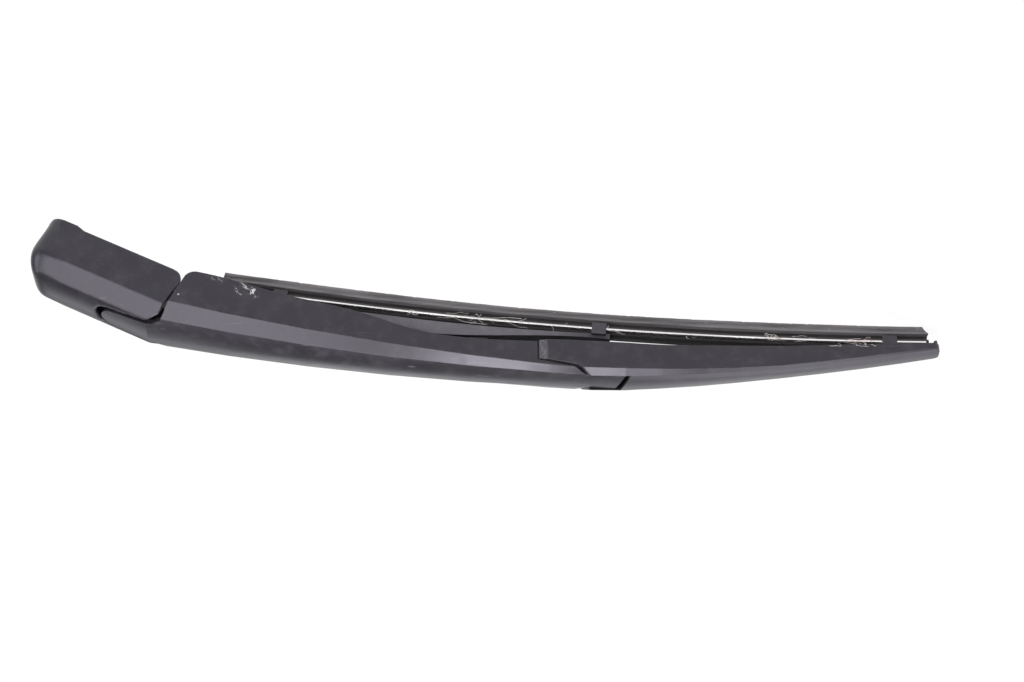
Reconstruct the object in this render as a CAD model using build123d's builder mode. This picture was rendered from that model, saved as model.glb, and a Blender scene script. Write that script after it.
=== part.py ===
"""Rear wiper arm with its blade: a capped drive head, a spring-loaded moulded arm and a three-claw blade.

Frame: the origin is on the spindle axis at the level of the cap's rim, +Z points away from the window,
+X runs from the spindle towards the arm. The arm hangs ARM_DROOP below the head. Millimetres.
"""
import os
from math import asin, cos, degrees, radians, sin

from build123d import *

os.makedirs("parts", exist_ok=True)

# Clearances
RUNNING_GAP = 0.05       # radial, pin in a bush
PRESS_GAP = 0.02         # radial, pin or bush pressed into its seat
SEAT_GAP = 0.3           # between pieces that sit in one another
MOTION_GAP = 0.5         # between bodies that move past one another

# Cap over the drive head
CAP_HALF_WIDTH = 14.5
CAP_BACK = 11.6          # spindle axis to the closed end
CAP_CORNER = 8.5         # corner radius of the closed end in plan
CAP_END_ROUND = 14.0     # the closed end rolls over into the crown
CAP_END_FOOT = 2.0
CAP_FLANK_TOP = 17.0
CAP_CHAMFER_Y = 5.5
CAP_CHAMFER_Z = 7.7
CAP_CROWN = 1.6
CAP_CROWN_RUN = 10.0     # length over which the crown rises from the closed end
CAP_CROWN_SLOPE = 0.3    # of the crown where it starts
CAP_WALL = 2.0
CAP_ROOF_SHARE = 0.32    # the cavity's roof edge lies this share of the wall below the chamfer's edge
CAP_RIM_CORNER = 5.0     # rounded lower corner beside the seam
SKIRT_DEPTH = 1.2        # the skirt round the closed end reaches below the rim
SKIRT_END = 3.0
SKIRT_RAMP = 4.0
SEAM_X = 57.0            # end plane of the arm
SEAM_GAP_RIM = 0.3       # the seam closes towards the rim
SEAM_GAP_TOP = 1.8
CAP_TOP = CAP_FLANK_TOP + CAP_CHAMFER_Z + CAP_CROWN

# Drive head casting
SEAT_RADIUS = 5.0        # grips the spindle's splines
SEAT_DEPTH = 6.0
TAPER_HEIGHT = 3.0
BORE_RADIUS = 4.1        # clears the spindle's thread
BORE_LAND = 4.0
BOSS_RADIUS = 8.8
BOSS_BOTTOM = -2.0
BASE_BOTTOM = 1.0
BASE_TOP = 5.5
BASE_END = 30.0
CHEEK_INNER = 6.3
CHEEK_WALL = 2.7
EAR_RADIUS = 4.8

# Hinge between head and arm
HINGE_X = 39.5
HINGE_Z = 16.0
HINGE_PIN_RADIUS = 2.5
BUSH_WALL = 1.0
BUSH_FLANGE = 0.5
BARREL_WALL = 2.0
ARM_DROOP = 26.5

# Tongue of the arm, lying in the slot of the cap's crown
TONGUE_TIP_X = 29.0
TONGUE_TIP_RADIUS = 5.0
TONGUE_FLARE_X = 53.0
TONGUE_FLARE_HALF = 7.0
TONGUE_ROOT_HALF = 9.6
TONGUE_INSET = 0.1       # the tongue lies this far below the cap's crown
SLOT_GAP = 1.4
SLOT_SHIFT = 1.7         # more room at the tip, which swings back and down

# Arm shell, in arm coordinates: x along the arm from the hinge pin, z away from the window
ARM_WALL = 2.2
ARM_START_X = 6.2        # the arm's crown starts here, flush with the tongue's
ARM_CROWN_ROOT = 2.2
ARM_CROWN_TIP = 0.6
ARM_RISE = 0.2249
ARM_BEND = 0.00044
ARM_TIP_HALF_WIDTH = 9.25
ARM_CHAMFER_ROOT = 7.0
ARM_CHAMFER_TIP = 1.8
ARM_CHAMFER_Y_ROOT = 4.5
ARM_CHAMFER_Y_TIP = 3.7
ARM_ROOT_X = 22.0        # station of the seam
ARM_SHOULDER_X = 170.5   # the flanks end here, beside the blade's hood
ARM_SECTION_FLOOR = -40.0
ARM_SPANS = 6            # straight spans that make up the arm's gentle curve
FLANK_EDGE = [
    (23.6, -8.7),
    (38.3, -5.3),
    (67.0, 3.4),
    (97.5, 11.2),
    (114.0, 17.2),
    (129.0, 21.0),
    (148.0, 23.0),
]
FLANK_EDGE_END_Z = 23.6
FLANK_LIP = 1.9          # flank left above the hood's side wall, less towards the fork
FLANK_LIP_END = 0.4
ARM_FORK_X = 186.2       # the chamfers run out here and leave the outer tongue
ARM_FORK_RUN = 4.4
ARM_TIP_X = 205.0
ARM_TIP_SLANT = 2.0
BACKING_REACH = 4.0      # tabs behind the gap at the shoulder
BACKING_THICKNESS = 0.7

# Ribs and spring in the arm
RIB_THICKNESS = 2.2
RIB_INNER = 5.2
RIB_RUN = 9.0
SPRING_PIN_RADIUS = 2.0
HEAD_ANCHOR_X = 24.0
HEAD_ANCHOR_Z = 6.0
ARM_ANCHOR_X = 47.5
ARM_ANCHOR_Z = 11.0
WIRE_RADIUS = 0.9
COIL_RADIUS = 4.0
COIL_TURNS = 10
COIL_SIDES = 16          # the coil's rings and the hooks are many-sided, which keeps them light
WIRE_SIDES = 8
COIL_START = 27.0        # along the line from the head's anchor to the arm's
COIL_END = 55.0
HOOK_TURN = 260.0

# Blade, in blade coordinates: origin on the blade pivot, axes as the arm's
BLADE_PIVOT_X = 192.0
BLADE_PIVOT_Z = 30.7
BLADE_PIN_RADIUS = 2.0
CLIP_WALL = 2.0
CLIP_HALF_WIDTH = 3.9
CLIP_MOUTH = 3.4

# Hood stations: x, half width, upper edge z, chamfer width, chamfer height, crown
HOOD_STATIONS = [
    (-23.0, 9.2, 7.5, 3.5, 2.65, 0.65),
    (15.0, 8.65, 8.0, 3.2, 2.1, 0.6),
    (30.0, 7.89, 7.25, 2.9, 1.6, 0.6),
    (45.0, 7.0, 6.2, 2.6, 1.1, 0.6),
    (62.0, 6.03, 4.68, 2.2, 0.75, 0.6),
    (80.0, 5.2, 2.8, 1.8, 0.5, 0.6),
    (97.0, 4.98, 0.65, 1.5, 0.43, 0.6),
    (115.0, 4.92, -1.9, 1.3, 0.4, 0.6),
    (131.0, 4.85, -4.4, 1.15, 0.4, 0.5),
    (147.0, 4.5, -7.0, 1.0, 0.4, 0.4),
]
HOOD_RIM = [
    (-21.5, -8.2),
    (9.0, -7.1),
    (30.0, -6.2),
    (60.0, -6.8),
    (97.0, -7.7),
    (124.0, -8.7),
    (148.0, -9.3),
]
HOOD_WALL = 1.3
HOOD_FLOOR = -30.0
HOOD_BEVEL = 4.6         # bevelled facet on the near end of the hood's side walls
HOOD_BEVEL_DEPTH = 1.0
HOOD_TIP_ROUND = 3.0     # in plan
SHOULDER_GAP = 0.65      # hood to the arm's shoulder
HOOD_GAP = 1.1           # hood to the arm's flank lip
FORK_SWING_GAP = 0.9     # more at the crown, which swings towards the arm
TONGUE_SLOT_GAP = 0.6
TONGUE_END_GAP = 2.0
WEB_X = 7.5
WEB_THICKNESS = 1.6
WEB_TOP = 3.0

# Lever of the blade frame, inside the arm
LEVER_CHEEK_INNER = 4.4
LEVER_CHEEK_WALL = 1.9
LEVER_EYE = 3.4
LEVER_BAR_HALF = 2.6
LEVER_JOIN_X = -12.0
LEVER_BAR_HEIGHT = 6.0
LEVER_CREST_X = -40.0
LEVER_CREST_Z = -4.0

# Yoke
YOKE_PIVOT_X = -68.0
YOKE_PIVOT_Z = -17.3
YOKE_PIN_RADIUS = 1.5
YOKE_PIN_HALF = 4.2      # moulded in, so its ends don't show
YOKE_EYE = 3.0
YOKE_HALF_WIDTH = 4.9
YOKE_END_HALF_WIDTH = 3.6
YOKE_SLOT_RUN = 16.0
YOKE_SLOT_SHIFT = 10.0   # the slot reaches further where the lever comes in
YOKE_BACK = [(-132.0, -28.7), (-100.0, -22.2), (-68.0, -14.2), (-36.0, -13.0), (9.0, -11.6)]
YOKE_BELLY = [(9.0, -14.2), (-25.0, -16.0), (-68.0, -20.4), (-100.0, -25.4), (-132.0, -30.8)]

# Rubber and its two steel strips, bent to one arc
ARC_RADIUS = 1831.0      # of the wiping lip
ARC_APEX_X = 163.4
ARC_APEX_Z = -19.9
RUBBER_LEFT_X = -154.7
RUBBER_RIGHT_X = 143.0
LIP_TIP_HALF = 0.35
LIP_ROOT_HALF = 0.9
LIP_HEIGHT = 3.6
SHOULDER_HALF = 2.5
SHOULDER_HEIGHT = 1.5
NECK_HALF = 0.8
NECK_HEIGHT = 3.1
FLANGE_HALF = 3.2
FLANGE_HEIGHT = 1.3
GROOVE_HALF = 1.3
RUBBER_HEAD_HALF = 2.4
RUBBER_HEAD_HEIGHT = 1.2
STRIP_THICKNESS = 0.8
STRIP_HALF = 4.0
STRIP_END = 1.5          # strips stop short of the rubber's ends
STRIP_GAP = 0.1

# Claws that hold the rubber
CLAW_LENGTH = 6.0
CLAW_WALL = 1.4
CLAW_SIDE = 0.9
CLAW_LEFT_X = -128.7
CLAW_MIDDLE_X = 5.4
CLAW_RIGHT_X = 126.3

GROOVE_BOTTOM = LIP_HEIGHT + SHOULDER_HEIGHT + NECK_HEIGHT + FLANGE_HEIGHT
GROOVE_TOP = GROOVE_BOTTOM + STRIP_THICKNESS + 2 * STRIP_GAP
RUBBER_TOP = GROOVE_TOP + RUBBER_HEAD_HEIGHT


# Frames of the three bodies

HEAD = Plane.XY
ARM = Plane(
    origin=(HINGE_X, 0, HINGE_Z),
    x_dir=(cos(radians(ARM_DROOP)), 0, -sin(radians(ARM_DROOP))),
    z_dir=(sin(radians(ARM_DROOP)), 0, cos(radians(ARM_DROOP))),
)


def place(frame, x, z):
    """The point of a frame's mid plane, in the part's own frame."""
    return frame.origin + frame.x_dir * x + frame.z_dir * z


BLADE = Plane(origin=place(ARM, BLADE_PIVOT_X, BLADE_PIVOT_Z), x_dir=ARM.x_dir, z_dir=ARM.z_dir)
ARC_CENTRE = place(BLADE, ARC_APEX_X, ARC_APEX_Z - ARC_RADIUS)
ARC_AXIS = Axis(ARC_CENTRE, (0, 1, 0))


def side(frame):
    """Mid plane for side views: sketch x along the frame, sketch y along its z."""
    return Plane(origin=frame.origin, x_dir=frame.x_dir, z_dir=(0, -1, 0))


def across(frame, x):
    """Cross-section plane at a station: sketch x along Y, sketch y along the frame's z."""
    return Plane(origin=place(frame, x, 0), x_dir=(0, 1, 0), z_dir=frame.x_dir)


def on_axis(frame, x, z):
    """Plane square to Y with its origin on a pin's axis."""
    return Plane(origin=place(frame, x, z), x_dir=frame.x_dir, z_dir=(0, -1, 0))


def arc_angle(x):
    """Angle of a blade station on the rubber's arc, from the apex, in degrees."""
    return degrees(asin((x - ARC_APEX_X) / ARC_RADIUS))


def rubber_station(x):
    """Cross-section plane on the lip's arc: sketch x along Y, sketch y away from the window."""
    turn = radians(arc_angle(x))
    tangent = BLADE.x_dir * cos(turn) - BLADE.z_dir * sin(turn)
    radial = BLADE.x_dir * sin(turn) + BLADE.z_dir * cos(turn)
    return Plane(origin=ARC_CENTRE + radial * ARC_RADIUS, x_dir=(0, 1, 0), z_dir=tangent)


def sketch_on(plane, points, rounds):
    """Closed straight-sided outline; rounds gives the radius at some of its corners."""
    with BuildSketch(plane) as outline:
        with BuildLine():
            Polyline(*points, close=True)
        make_face()
        for corner, radius in rounds.items():
            fillet(outline.vertices().sort_by_distance(points[corner])[0], radius)
    return outline.sketch


def rod(frame, x, z, radius, half_length):
    """Cylinder along Y."""
    with BuildPart() as made:
        with BuildSketch(on_axis(frame, x, z)):
            Circle(radius)
        extrude(amount=half_length, both=True)
    return made.part


def save(part, name):
    """Labels a finished piece and writes it."""
    part.label = name
    export_step(part, f"parts/{name}.step")


# Cap


def cap_form(inset):
    """Outer form of the cap, or its cavity when inset by the wall."""
    half = CAP_HALF_WIDTH - inset
    crown_base = CAP_FLANK_TOP + CAP_CHAMFER_Z - CAP_ROOF_SHARE * inset
    crown_half = half - CAP_CHAMFER_Y
    back = inset - CAP_BACK
    front = SEAM_X + CAP_WALL
    floor = -2 * SKIRT_DEPTH
    with BuildPart() as form:
        with BuildSketch(HEAD.offset(floor)) as plan:
            with Locations(((front + back) / 2, 0)):
                Rectangle(front - back, 2 * half)
            fillet(plan.vertices().group_by(Axis.X)[0], CAP_CORNER - inset)
        extrude(amount=crown_base - floor)
        top_face = form.faces().sort_by(Axis.Z)[-1]
        rim_edges = top_face.edges().sort_by(Axis.X)[:-1]
        chamfer(rim_edges, CAP_CHAMFER_Y, CAP_CHAMFER_Z, reference=top_face)
    with BuildPart() as crown:
        with BuildSketch(across(HEAD, back)):
            with BuildLine():
                ThreePointArc((-crown_half, crown_base), (0, CAP_TOP - inset), (crown_half, crown_base))
                Line((crown_half, crown_base), (-crown_half, crown_base))
            make_face()
        extrude(amount=front - back)
        with BuildSketch(side(HEAD)):
            start = back + CAP_CHAMFER_Y - inset
            with BuildLine():
                Spline(
                    (start, crown_base),
                    (start + CAP_CROWN_RUN, CAP_TOP - inset),
                    tangents=[(1, CAP_CROWN_SLOPE), (1, 0)],
                )
                Polyline(
                    (start + CAP_CROWN_RUN, CAP_TOP - inset),
                    (front, CAP_TOP - inset),
                    (front, crown_base),
                    (start, crown_base),
                )
            make_face()
        extrude(amount=half, both=True, mode=Mode.INTERSECT)
    return form.part + crown.part


def tongue_outline(grow):
    """Plan outline of the arm's tongue in the head's frame."""
    tip_centre = TONGUE_TIP_X + TONGUE_TIP_RADIUS
    with BuildSketch(HEAD) as outline:
        with Locations((tip_centre, 0)):
            Circle(TONGUE_TIP_RADIUS)
        with BuildLine():
            Polyline(
                (tip_centre, -TONGUE_TIP_RADIUS),
                (TONGUE_FLARE_X, -TONGUE_FLARE_HALF),
                (SEAM_X, -TONGUE_ROOT_HALF),
                (SEAM_X, TONGUE_ROOT_HALF),
                (TONGUE_FLARE_X, TONGUE_FLARE_HALF),
                (tip_centre, TONGUE_TIP_RADIUS),
                close=True,
            )
        make_face()
        if grow:
            offset(amount=grow)
    return outline.sketch


cap_outer = cap_form(0)
cap_inner = cap_form(CAP_WALL)
cap_slot = tongue_outline(SLOT_GAP)
cap_slope = (SEAM_GAP_TOP - SEAM_GAP_RIM) / (CAP_FLANK_TOP + CAP_CHAMFER_Z)
cap_side = sketch_on(
    side(HEAD),
    [
        (SEAM_X - SEAM_GAP_RIM, 0),
        (SEAM_X - SEAM_GAP_RIM - cap_slope * CAP_TOP, CAP_TOP),
        (-CAP_BACK, CAP_TOP),
        (-CAP_BACK, -SKIRT_DEPTH),
        (SKIRT_END, -SKIRT_DEPTH),
        (SKIRT_END + SKIRT_RAMP, 0),
    ],
    {0: CAP_RIM_CORNER, 2: CAP_END_ROUND, 3: CAP_END_FOOT},
)
with BuildPart() as head_cap:
    add(cap_outer)
    extrude(cap_side, amount=CAP_HALF_WIDTH, both=True, mode=Mode.INTERSECT)
    add(cap_inner, mode=Mode.SUBTRACT)
    with BuildSketch(HEAD.offset(HINGE_Z)):
        add(cap_slot)
        with Locations((-SLOT_SHIFT, 0)):
            add(cap_slot)
    extrude(amount=CAP_TOP, mode=Mode.SUBTRACT)
save(head_cap.part, "head_cap")


# Drive head

cheek_outer = CHEEK_INNER + CHEEK_WALL
base_half = CAP_HALF_WIDTH - CAP_WALL - SEAT_GAP
base_back = CAP_BACK - CAP_WALL - SEAT_GAP
taper_bottom = BOSS_BOTTOM + SEAT_DEPTH
boss_top = taper_bottom + TAPER_HEIGHT + BORE_LAND
with BuildPart() as drive_head:
    with BuildSketch(HEAD.offset(BASE_BOTTOM)) as base:
        with Locations(((BASE_END - base_back) / 2, 0)):
            Rectangle(BASE_END + base_back, 2 * base_half)
        fillet(base.vertices().group_by(Axis.X)[0], CAP_CORNER - CAP_WALL - SEAT_GAP)
    extrude(amount=BASE_TOP - BASE_BOTTOM)
    with BuildSketch(HEAD.offset(BOSS_BOTTOM)):
        Circle(BOSS_RADIUS)
    extrude(amount=boss_top - BOSS_BOTTOM)
    with BuildSketch(side(HEAD)):
        with BuildLine():
            Polyline(
                (BOSS_RADIUS / 2, BASE_BOTTOM),
                (BASE_END, BASE_BOTTOM),
                (HINGE_X + EAR_RADIUS, HINGE_Z),
                (HINGE_X, HINGE_Z + EAR_RADIUS),
                (BASE_END - EAR_RADIUS, HINGE_Z + EAR_RADIUS / 2),
                (BOSS_RADIUS, boss_top),
                (BOSS_RADIUS / 2, boss_top),
                close=True,
            )
        make_face()
        with Locations((HINGE_X, HINGE_Z)):
            Circle(EAR_RADIUS)
    extrude(amount=cheek_outer, both=True)
    with BuildSketch(side(HEAD)):
        with Locations((BOSS_RADIUS + SEAM_X / 2, 0)):
            Rectangle(SEAM_X, 3 * CAP_TOP)
    extrude(amount=CHEEK_INNER, both=True, mode=Mode.SUBTRACT)
    with BuildSketch(across(HEAD, BOSS_RADIUS)):
        with Locations((0, (BASE_BOTTOM + BASE_TOP) / 2)):
            Rectangle(2 * cheek_outer, BASE_TOP - BASE_BOTTOM)
    extrude(amount=RIB_THICKNESS)
    with BuildSketch(HEAD.offset(BOSS_BOTTOM)):
        Circle(SEAT_RADIUS)
    extrude(amount=SEAT_DEPTH, mode=Mode.SUBTRACT)
    with BuildSketch(HEAD.offset(taper_bottom)):
        Circle(SEAT_RADIUS)
    with BuildSketch(HEAD.offset(taper_bottom + TAPER_HEIGHT)):
        Circle(BORE_RADIUS)
    loft(mode=Mode.SUBTRACT)
    with BuildSketch(HEAD.offset(taper_bottom)):
        Circle(BORE_RADIUS)
    extrude(amount=CAP_TOP, mode=Mode.SUBTRACT)
    for pin_x, pin_z, pin_radius in (
        (HINGE_X, HINGE_Z, HINGE_PIN_RADIUS),
        (HEAD_ANCHOR_X, HEAD_ANCHOR_Z, SPRING_PIN_RADIUS),
    ):
        with BuildSketch(on_axis(HEAD, pin_x, pin_z)):
            Circle(pin_radius + PRESS_GAP)
        extrude(amount=base_half, both=True, mode=Mode.SUBTRACT)
save(drive_head.part, "drive_head")

hinge_pin = rod(HEAD, HINGE_X, HINGE_Z, HINGE_PIN_RADIUS, cheek_outer)
save(hinge_pin, "hinge_pin")
head_spring_pin = rod(HEAD, HEAD_ANCHOR_X, HEAD_ANCHOR_Z, SPRING_PIN_RADIUS, cheek_outer)
save(head_spring_pin, "head_spring_pin")


# Arm

tongue_band = CAP_TOP - TONGUE_INSET


def along_arm(x, root, tip):
    """A size that changes evenly from the seam to the shoulder."""
    return root + (tip - root) * (x - ARM_ROOT_X) / (ARM_SHOULDER_X - ARM_ROOT_X)


def arm_crown(x):
    """Rise of the crowned outer face over the chamfer's edge."""
    return along_arm(x, ARM_CROWN_ROOT, ARM_CROWN_TIP)


def arm_crown_z(x):
    """Height of the arm's crown line at a station."""
    start = (tongue_band - HINGE_Z + ARM_START_X * sin(radians(ARM_DROOP))) / cos(radians(ARM_DROOP))
    flattening = arm_crown(ARM_START_X) - arm_crown(x)
    return start - flattening + ARM_RISE * (x - ARM_START_X) - ARM_BEND * (x**2 - ARM_START_X**2)


def arm_edges(x):
    """Half width, flank top, chamfer top and crown of the arm's section."""
    half = along_arm(x, CAP_HALF_WIDTH, ARM_TIP_HALF_WIDTH)
    shelf = half - along_arm(x, ARM_CHAMFER_Y_ROOT, ARM_CHAMFER_Y_TIP)
    crown = arm_crown_z(x)
    chamfer_top = crown - arm_crown(x)
    flank_top = chamfer_top - max(along_arm(x, ARM_CHAMFER_ROOT, ARM_CHAMFER_TIP), RUNNING_GAP)
    return half, flank_top, shelf, chamfer_top, crown


def faceted_section(plane, half, flank_top, shelf, chamfer_top, crown, floor, inset):
    """Flank, chamfer and crowned outer face, mirrored about the mid plane."""
    with BuildSketch(plane) as section:
        with BuildLine():
            Polyline((half, floor), (half, flank_top), (shelf, chamfer_top))
            ThreePointArc((shelf, chamfer_top), (0, crown), (-shelf, chamfer_top))
            Polyline((-shelf, chamfer_top), (-half, flank_top), (-half, floor), (half, floor))
        make_face()
        if inset:
            offset(amount=-inset, kind=Kind.INTERSECTION)
    return section.sketch


def arm_section(x, inset):
    """The arm's cross-section at a station."""
    half, flank_top, shelf, chamfer_top, crown = arm_edges(x)
    plane = across(ARM, x)
    return faceted_section(plane, half, flank_top, shelf, chamfer_top, crown, ARM_SECTION_FLOOR, inset)


def tongue_section(inset):
    """Cross-section in the head's frame, just below the cap's own crown and chamfers."""
    half = CAP_HALF_WIDTH
    chamfer_top = tongue_band - CAP_CROWN
    flank_top = chamfer_top - CAP_CHAMFER_Z
    plane = across(HEAD, TONGUE_TIP_X - TONGUE_TIP_RADIUS)
    return faceted_section(plane, half, flank_top, half - CAP_CHAMFER_Y, chamfer_top, tongue_band, 0, inset)


def arm_sections(inset):
    """All cross-sections from the tongue to the arm's outer end."""
    return [tongue_section(inset)] + [arm_section(x, inset) for x in arm_stations]


arm_far_x = ARM_TIP_X + 2 * ARM_WALL
arm_span = (arm_far_x - ARM_START_X) / ARM_SPANS
arm_stations = [ARM_START_X + arm_span * span for span in range(ARM_SPANS + 1)]
lip_start_z = arm_edges(ARM_SHOULDER_X)[1] - FLANK_LIP
lip_fork_z = arm_edges(ARM_FORK_X)[1] - FLANK_LIP_END
lip_slope = (lip_fork_z - lip_start_z) / (ARM_FORK_X - ARM_SHOULDER_X)
barrel_bore = HINGE_PIN_RADIUS + RUNNING_GAP + BUSH_WALL
barrel_radius = barrel_bore + BARREL_WALL
barrel_half = CHEEK_INNER - MOTION_GAP - BUSH_FLANGE
seam_top = ARM.to_local_coords(Vector(SEAM_X, 0, HINGE_Z + EAR_RADIUS))
seam_middle = ARM.to_local_coords(Vector(SEAM_X, 0, HINGE_Z))
seam_far = ARM.to_local_coords(Vector(-SEAM_X, 0, HINGE_Z + EAR_RADIUS))

with BuildPart() as arm:
    loft(arm_sections(0), ruled=True)
    loft(arm_sections(ARM_WALL), ruled=True, mode=Mode.SUBTRACT)
    # Everything on the window side of the flank edge, and what lies on the head's side of the seam
    with BuildSketch(side(ARM)) as below:
        with BuildLine():
            Polyline(
                (seam_far.X, 2 * ARM_SECTION_FLOOR),
                (seam_far.X, seam_far.Z),
                (seam_top.X, seam_top.Z),
                (seam_middle.X, seam_middle.Z),
                FLANK_EDGE[0],
            )
            edge_line = Spline(*FLANK_EDGE, (ARM_SHOULDER_X - ARM_WALL, FLANK_EDGE_END_Z))
            Polyline(
                edge_line @ 1,
                (ARM_SHOULDER_X, FLANK_EDGE_END_Z),
                (ARM_SHOULDER_X, lip_start_z),
                (ARM_FORK_X, lip_fork_z),
                (arm_far_x, lip_fork_z),
                (arm_far_x, 2 * ARM_SECTION_FLOOR),
                (seam_far.X, 2 * ARM_SECTION_FLOOR),
            )
        make_face()
        fillet(below.vertices().sort_by_distance(FLANK_EDGE[0])[0], CAP_RIM_CORNER)
    extrude(amount=2 * CAP_HALF_WIDTH, both=True, mode=Mode.SUBTRACT)
    # Above that level only the tongue reaches over the head
    with BuildSketch(HEAD.offset(HINGE_Z + EAR_RADIUS - RUNNING_GAP)):
        Rectangle(2 * SEAM_X, 4 * CAP_HALF_WIDTH)
        add(tongue_outline(0), mode=Mode.SUBTRACT)
    extrude(amount=2 * CAP_TOP, mode=Mode.SUBTRACT)
    # Outer tongue between the hood's side walls
    fork_half = arm_edges(ARM_FORK_X)[0]
    tip_half = arm_edges(ARM_FORK_X + ARM_FORK_RUN)[2]
    with BuildSketch(ARM):
        for sign in (1, -1):
            with BuildLine():
                Polyline(
                    (ARM_FORK_X, sign * fork_half),
                    (ARM_FORK_X + ARM_FORK_RUN, sign * tip_half),
                    (ARM_TIP_X + sign * ARM_TIP_SLANT, sign * tip_half),
                    (ARM_TIP_X, 0),
                    (arm_far_x + fork_half, 0),
                    (arm_far_x + fork_half, sign * 2 * fork_half),
                    (ARM_FORK_X, sign * 2 * fork_half),
                    close=True,
                )
            make_face()
    extrude(amount=2 * arm_crown_z(ARM_TIP_X), mode=Mode.SUBTRACT)
    # Neck from the hinge barrel to the shell
    with BuildSketch(side(HEAD)):
        with BuildLine():
            neck_x = SEAM_X + EAR_RADIUS
            neck_top = place(ARM, ARM_ROOT_X, arm_crown_z(ARM_ROOT_X) - ARM_WALL / 2)
            Polyline(
                (TONGUE_TIP_X + TONGUE_TIP_RADIUS, tongue_band - ARM_WALL / 2),
                (HINGE_X + barrel_radius, tongue_band - ARM_WALL / 2),
                (neck_top.X, neck_top.Z),
                (neck_top.X, HINGE_Z),
                (HINGE_X + barrel_radius, HINGE_Z - barrel_radius / 2),
                (HINGE_X, HINGE_Z - barrel_radius / 2),
                (HINGE_X - barrel_radius / 2, HINGE_Z),
                close=True,
            )
        make_face()
        with Locations((HINGE_X, HINGE_Z)):
            Circle(barrel_radius)
    extrude(amount=TONGUE_TIP_RADIUS - RIB_THICKNESS / 2, both=True)
    with BuildSketch(on_axis(ARM, 0, 0)):
        Circle(barrel_radius)
    extrude(amount=barrel_half, both=True)
    with BuildSketch(on_axis(ARM, 0, 0)):
        Circle(barrel_bore + PRESS_GAP)
    extrude(amount=CAP_HALF_WIDTH, both=True, mode=Mode.SUBTRACT)
    # Two ribs carry the spring's pin
    rib_top = arm_crown_z(ARM_ANCHOR_X - RIB_RUN) - ARM_WALL
    for facing in (1, -1):
        with BuildSketch(side(ARM).offset(facing * RIB_INNER)):
            with BuildLine():
                Polyline(
                    (ARM_ANCHOR_X - RIB_RUN, rib_top),
                    (ARM_ANCHOR_X - SPRING_PIN_RADIUS, ARM_ANCHOR_Z),
                    (ARM_ANCHOR_X + SPRING_PIN_RADIUS, ARM_ANCHOR_Z),
                    (ARM_ANCHOR_X + RIB_RUN, arm_crown_z(ARM_ANCHOR_X + RIB_RUN) - ARM_WALL),
                    close=True,
                )
            make_face()
            with Locations((ARM_ANCHOR_X, ARM_ANCHOR_Z)):
                Circle(2 * SPRING_PIN_RADIUS)
        extrude(amount=facing * RIB_THICKNESS)
    with BuildSketch(on_axis(ARM, ARM_ANCHOR_X, ARM_ANCHOR_Z)):
        Circle(SPRING_PIN_RADIUS + PRESS_GAP)
    extrude(amount=RIB_INNER + RIB_THICKNESS, both=True, mode=Mode.SUBTRACT)
    # Tabs that close the view through the gap at the shoulder
    backing_outer = HOOD_STATIONS[0][1] - HOOD_WALL - MOTION_GAP
    backing_bottom = FLANK_EDGE_END_Z + ARM_WALL / 2
    for facing in (1, -1):
        with BuildSketch(side(ARM).offset(facing * (backing_outer - BACKING_THICKNESS))):
            with Locations((ARM_SHOULDER_X, (backing_bottom + lip_start_z) / 2)):
                Rectangle(2 * BACKING_REACH, lip_start_z - backing_bottom)
        extrude(amount=facing * BACKING_THICKNESS)
    # Snap clip under the outer tongue
    clip_radius = BLADE_PIN_RADIUS + RUNNING_GAP + CLIP_WALL
    clip_roof = arm_crown_z(BLADE_PIVOT_X) - BLADE_PIVOT_Z - ARM_WALL / 2
    with BuildSketch(on_axis(ARM, BLADE_PIVOT_X, BLADE_PIVOT_Z)):
        Circle(clip_radius)
        with Locations((0, clip_roof / 2)):
            Rectangle(2 * clip_radius, clip_roof)
    extrude(amount=CLIP_HALF_WIDTH, both=True)
    with BuildSketch(on_axis(ARM, BLADE_PIVOT_X, BLADE_PIVOT_Z)):
        Circle(BLADE_PIN_RADIUS + RUNNING_GAP)
        with Locations((0, -clip_radius / 2)):
            Rectangle(CLIP_MOUTH, clip_radius)
    extrude(amount=2 * CLIP_HALF_WIDTH, both=True, mode=Mode.SUBTRACT)
save(arm.part, "arm")

arm_spring_pin = rod(ARM, ARM_ANCHOR_X, ARM_ANCHOR_Z, SPRING_PIN_RADIUS, RIB_INNER + RIB_THICKNESS)
save(arm_spring_pin, "arm_spring_pin")

# Two flanged bushes line the hinge barrel from its ends
for bush_name, facing in (("hinge_bush_near", 1), ("hinge_bush_far", -1)):
    seat = Plane(origin=(HINGE_X, facing * barrel_half, HINGE_Z), x_dir=(1, 0, 0), z_dir=(0, facing, 0))
    with BuildPart() as bush:
        with BuildSketch(seat):
            Circle(barrel_radius)
        extrude(amount=BUSH_FLANGE)
        with BuildSketch(seat):
            Circle(barrel_bore)
        extrude(amount=SEAT_GAP - barrel_half)
        with BuildSketch(seat):
            Circle(HINGE_PIN_RADIUS + RUNNING_GAP)
        extrude(amount=barrel_half, both=True, mode=Mode.SUBTRACT)
    save(bush.part, bush_name)


# Tension spring: a close-wound coil with a long hook to the head's pin and a short one to the arm's pin

anchor_head = Vector(HEAD_ANCHOR_X, 0, HEAD_ANCHOR_Z)
anchor_arm = place(ARM, ARM_ANCHOR_X, ARM_ANCHOR_Z)
spring_length = (anchor_arm - anchor_head).length
SPRING = Plane(origin=anchor_head, x_dir=(anchor_arm - anchor_head), z_dir=(0, -1, 0))
eye_radius = SPRING_PIN_RADIUS + SEAT_GAP + WIRE_RADIUS
pitch = (COIL_END - COIL_START) / COIL_TURNS


def spring_ring(x, radius):
    """Many-sided ring outline square to the spring's axis."""
    centre = SPRING.from_local_coords(Vector(x, 0))
    with BuildSketch(Plane(origin=centre, x_dir=(0, 1, 0), z_dir=SPRING.x_dir)) as ring:
        RegularPolygon(radius, COIL_SIDES)
    return ring.sketch


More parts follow.
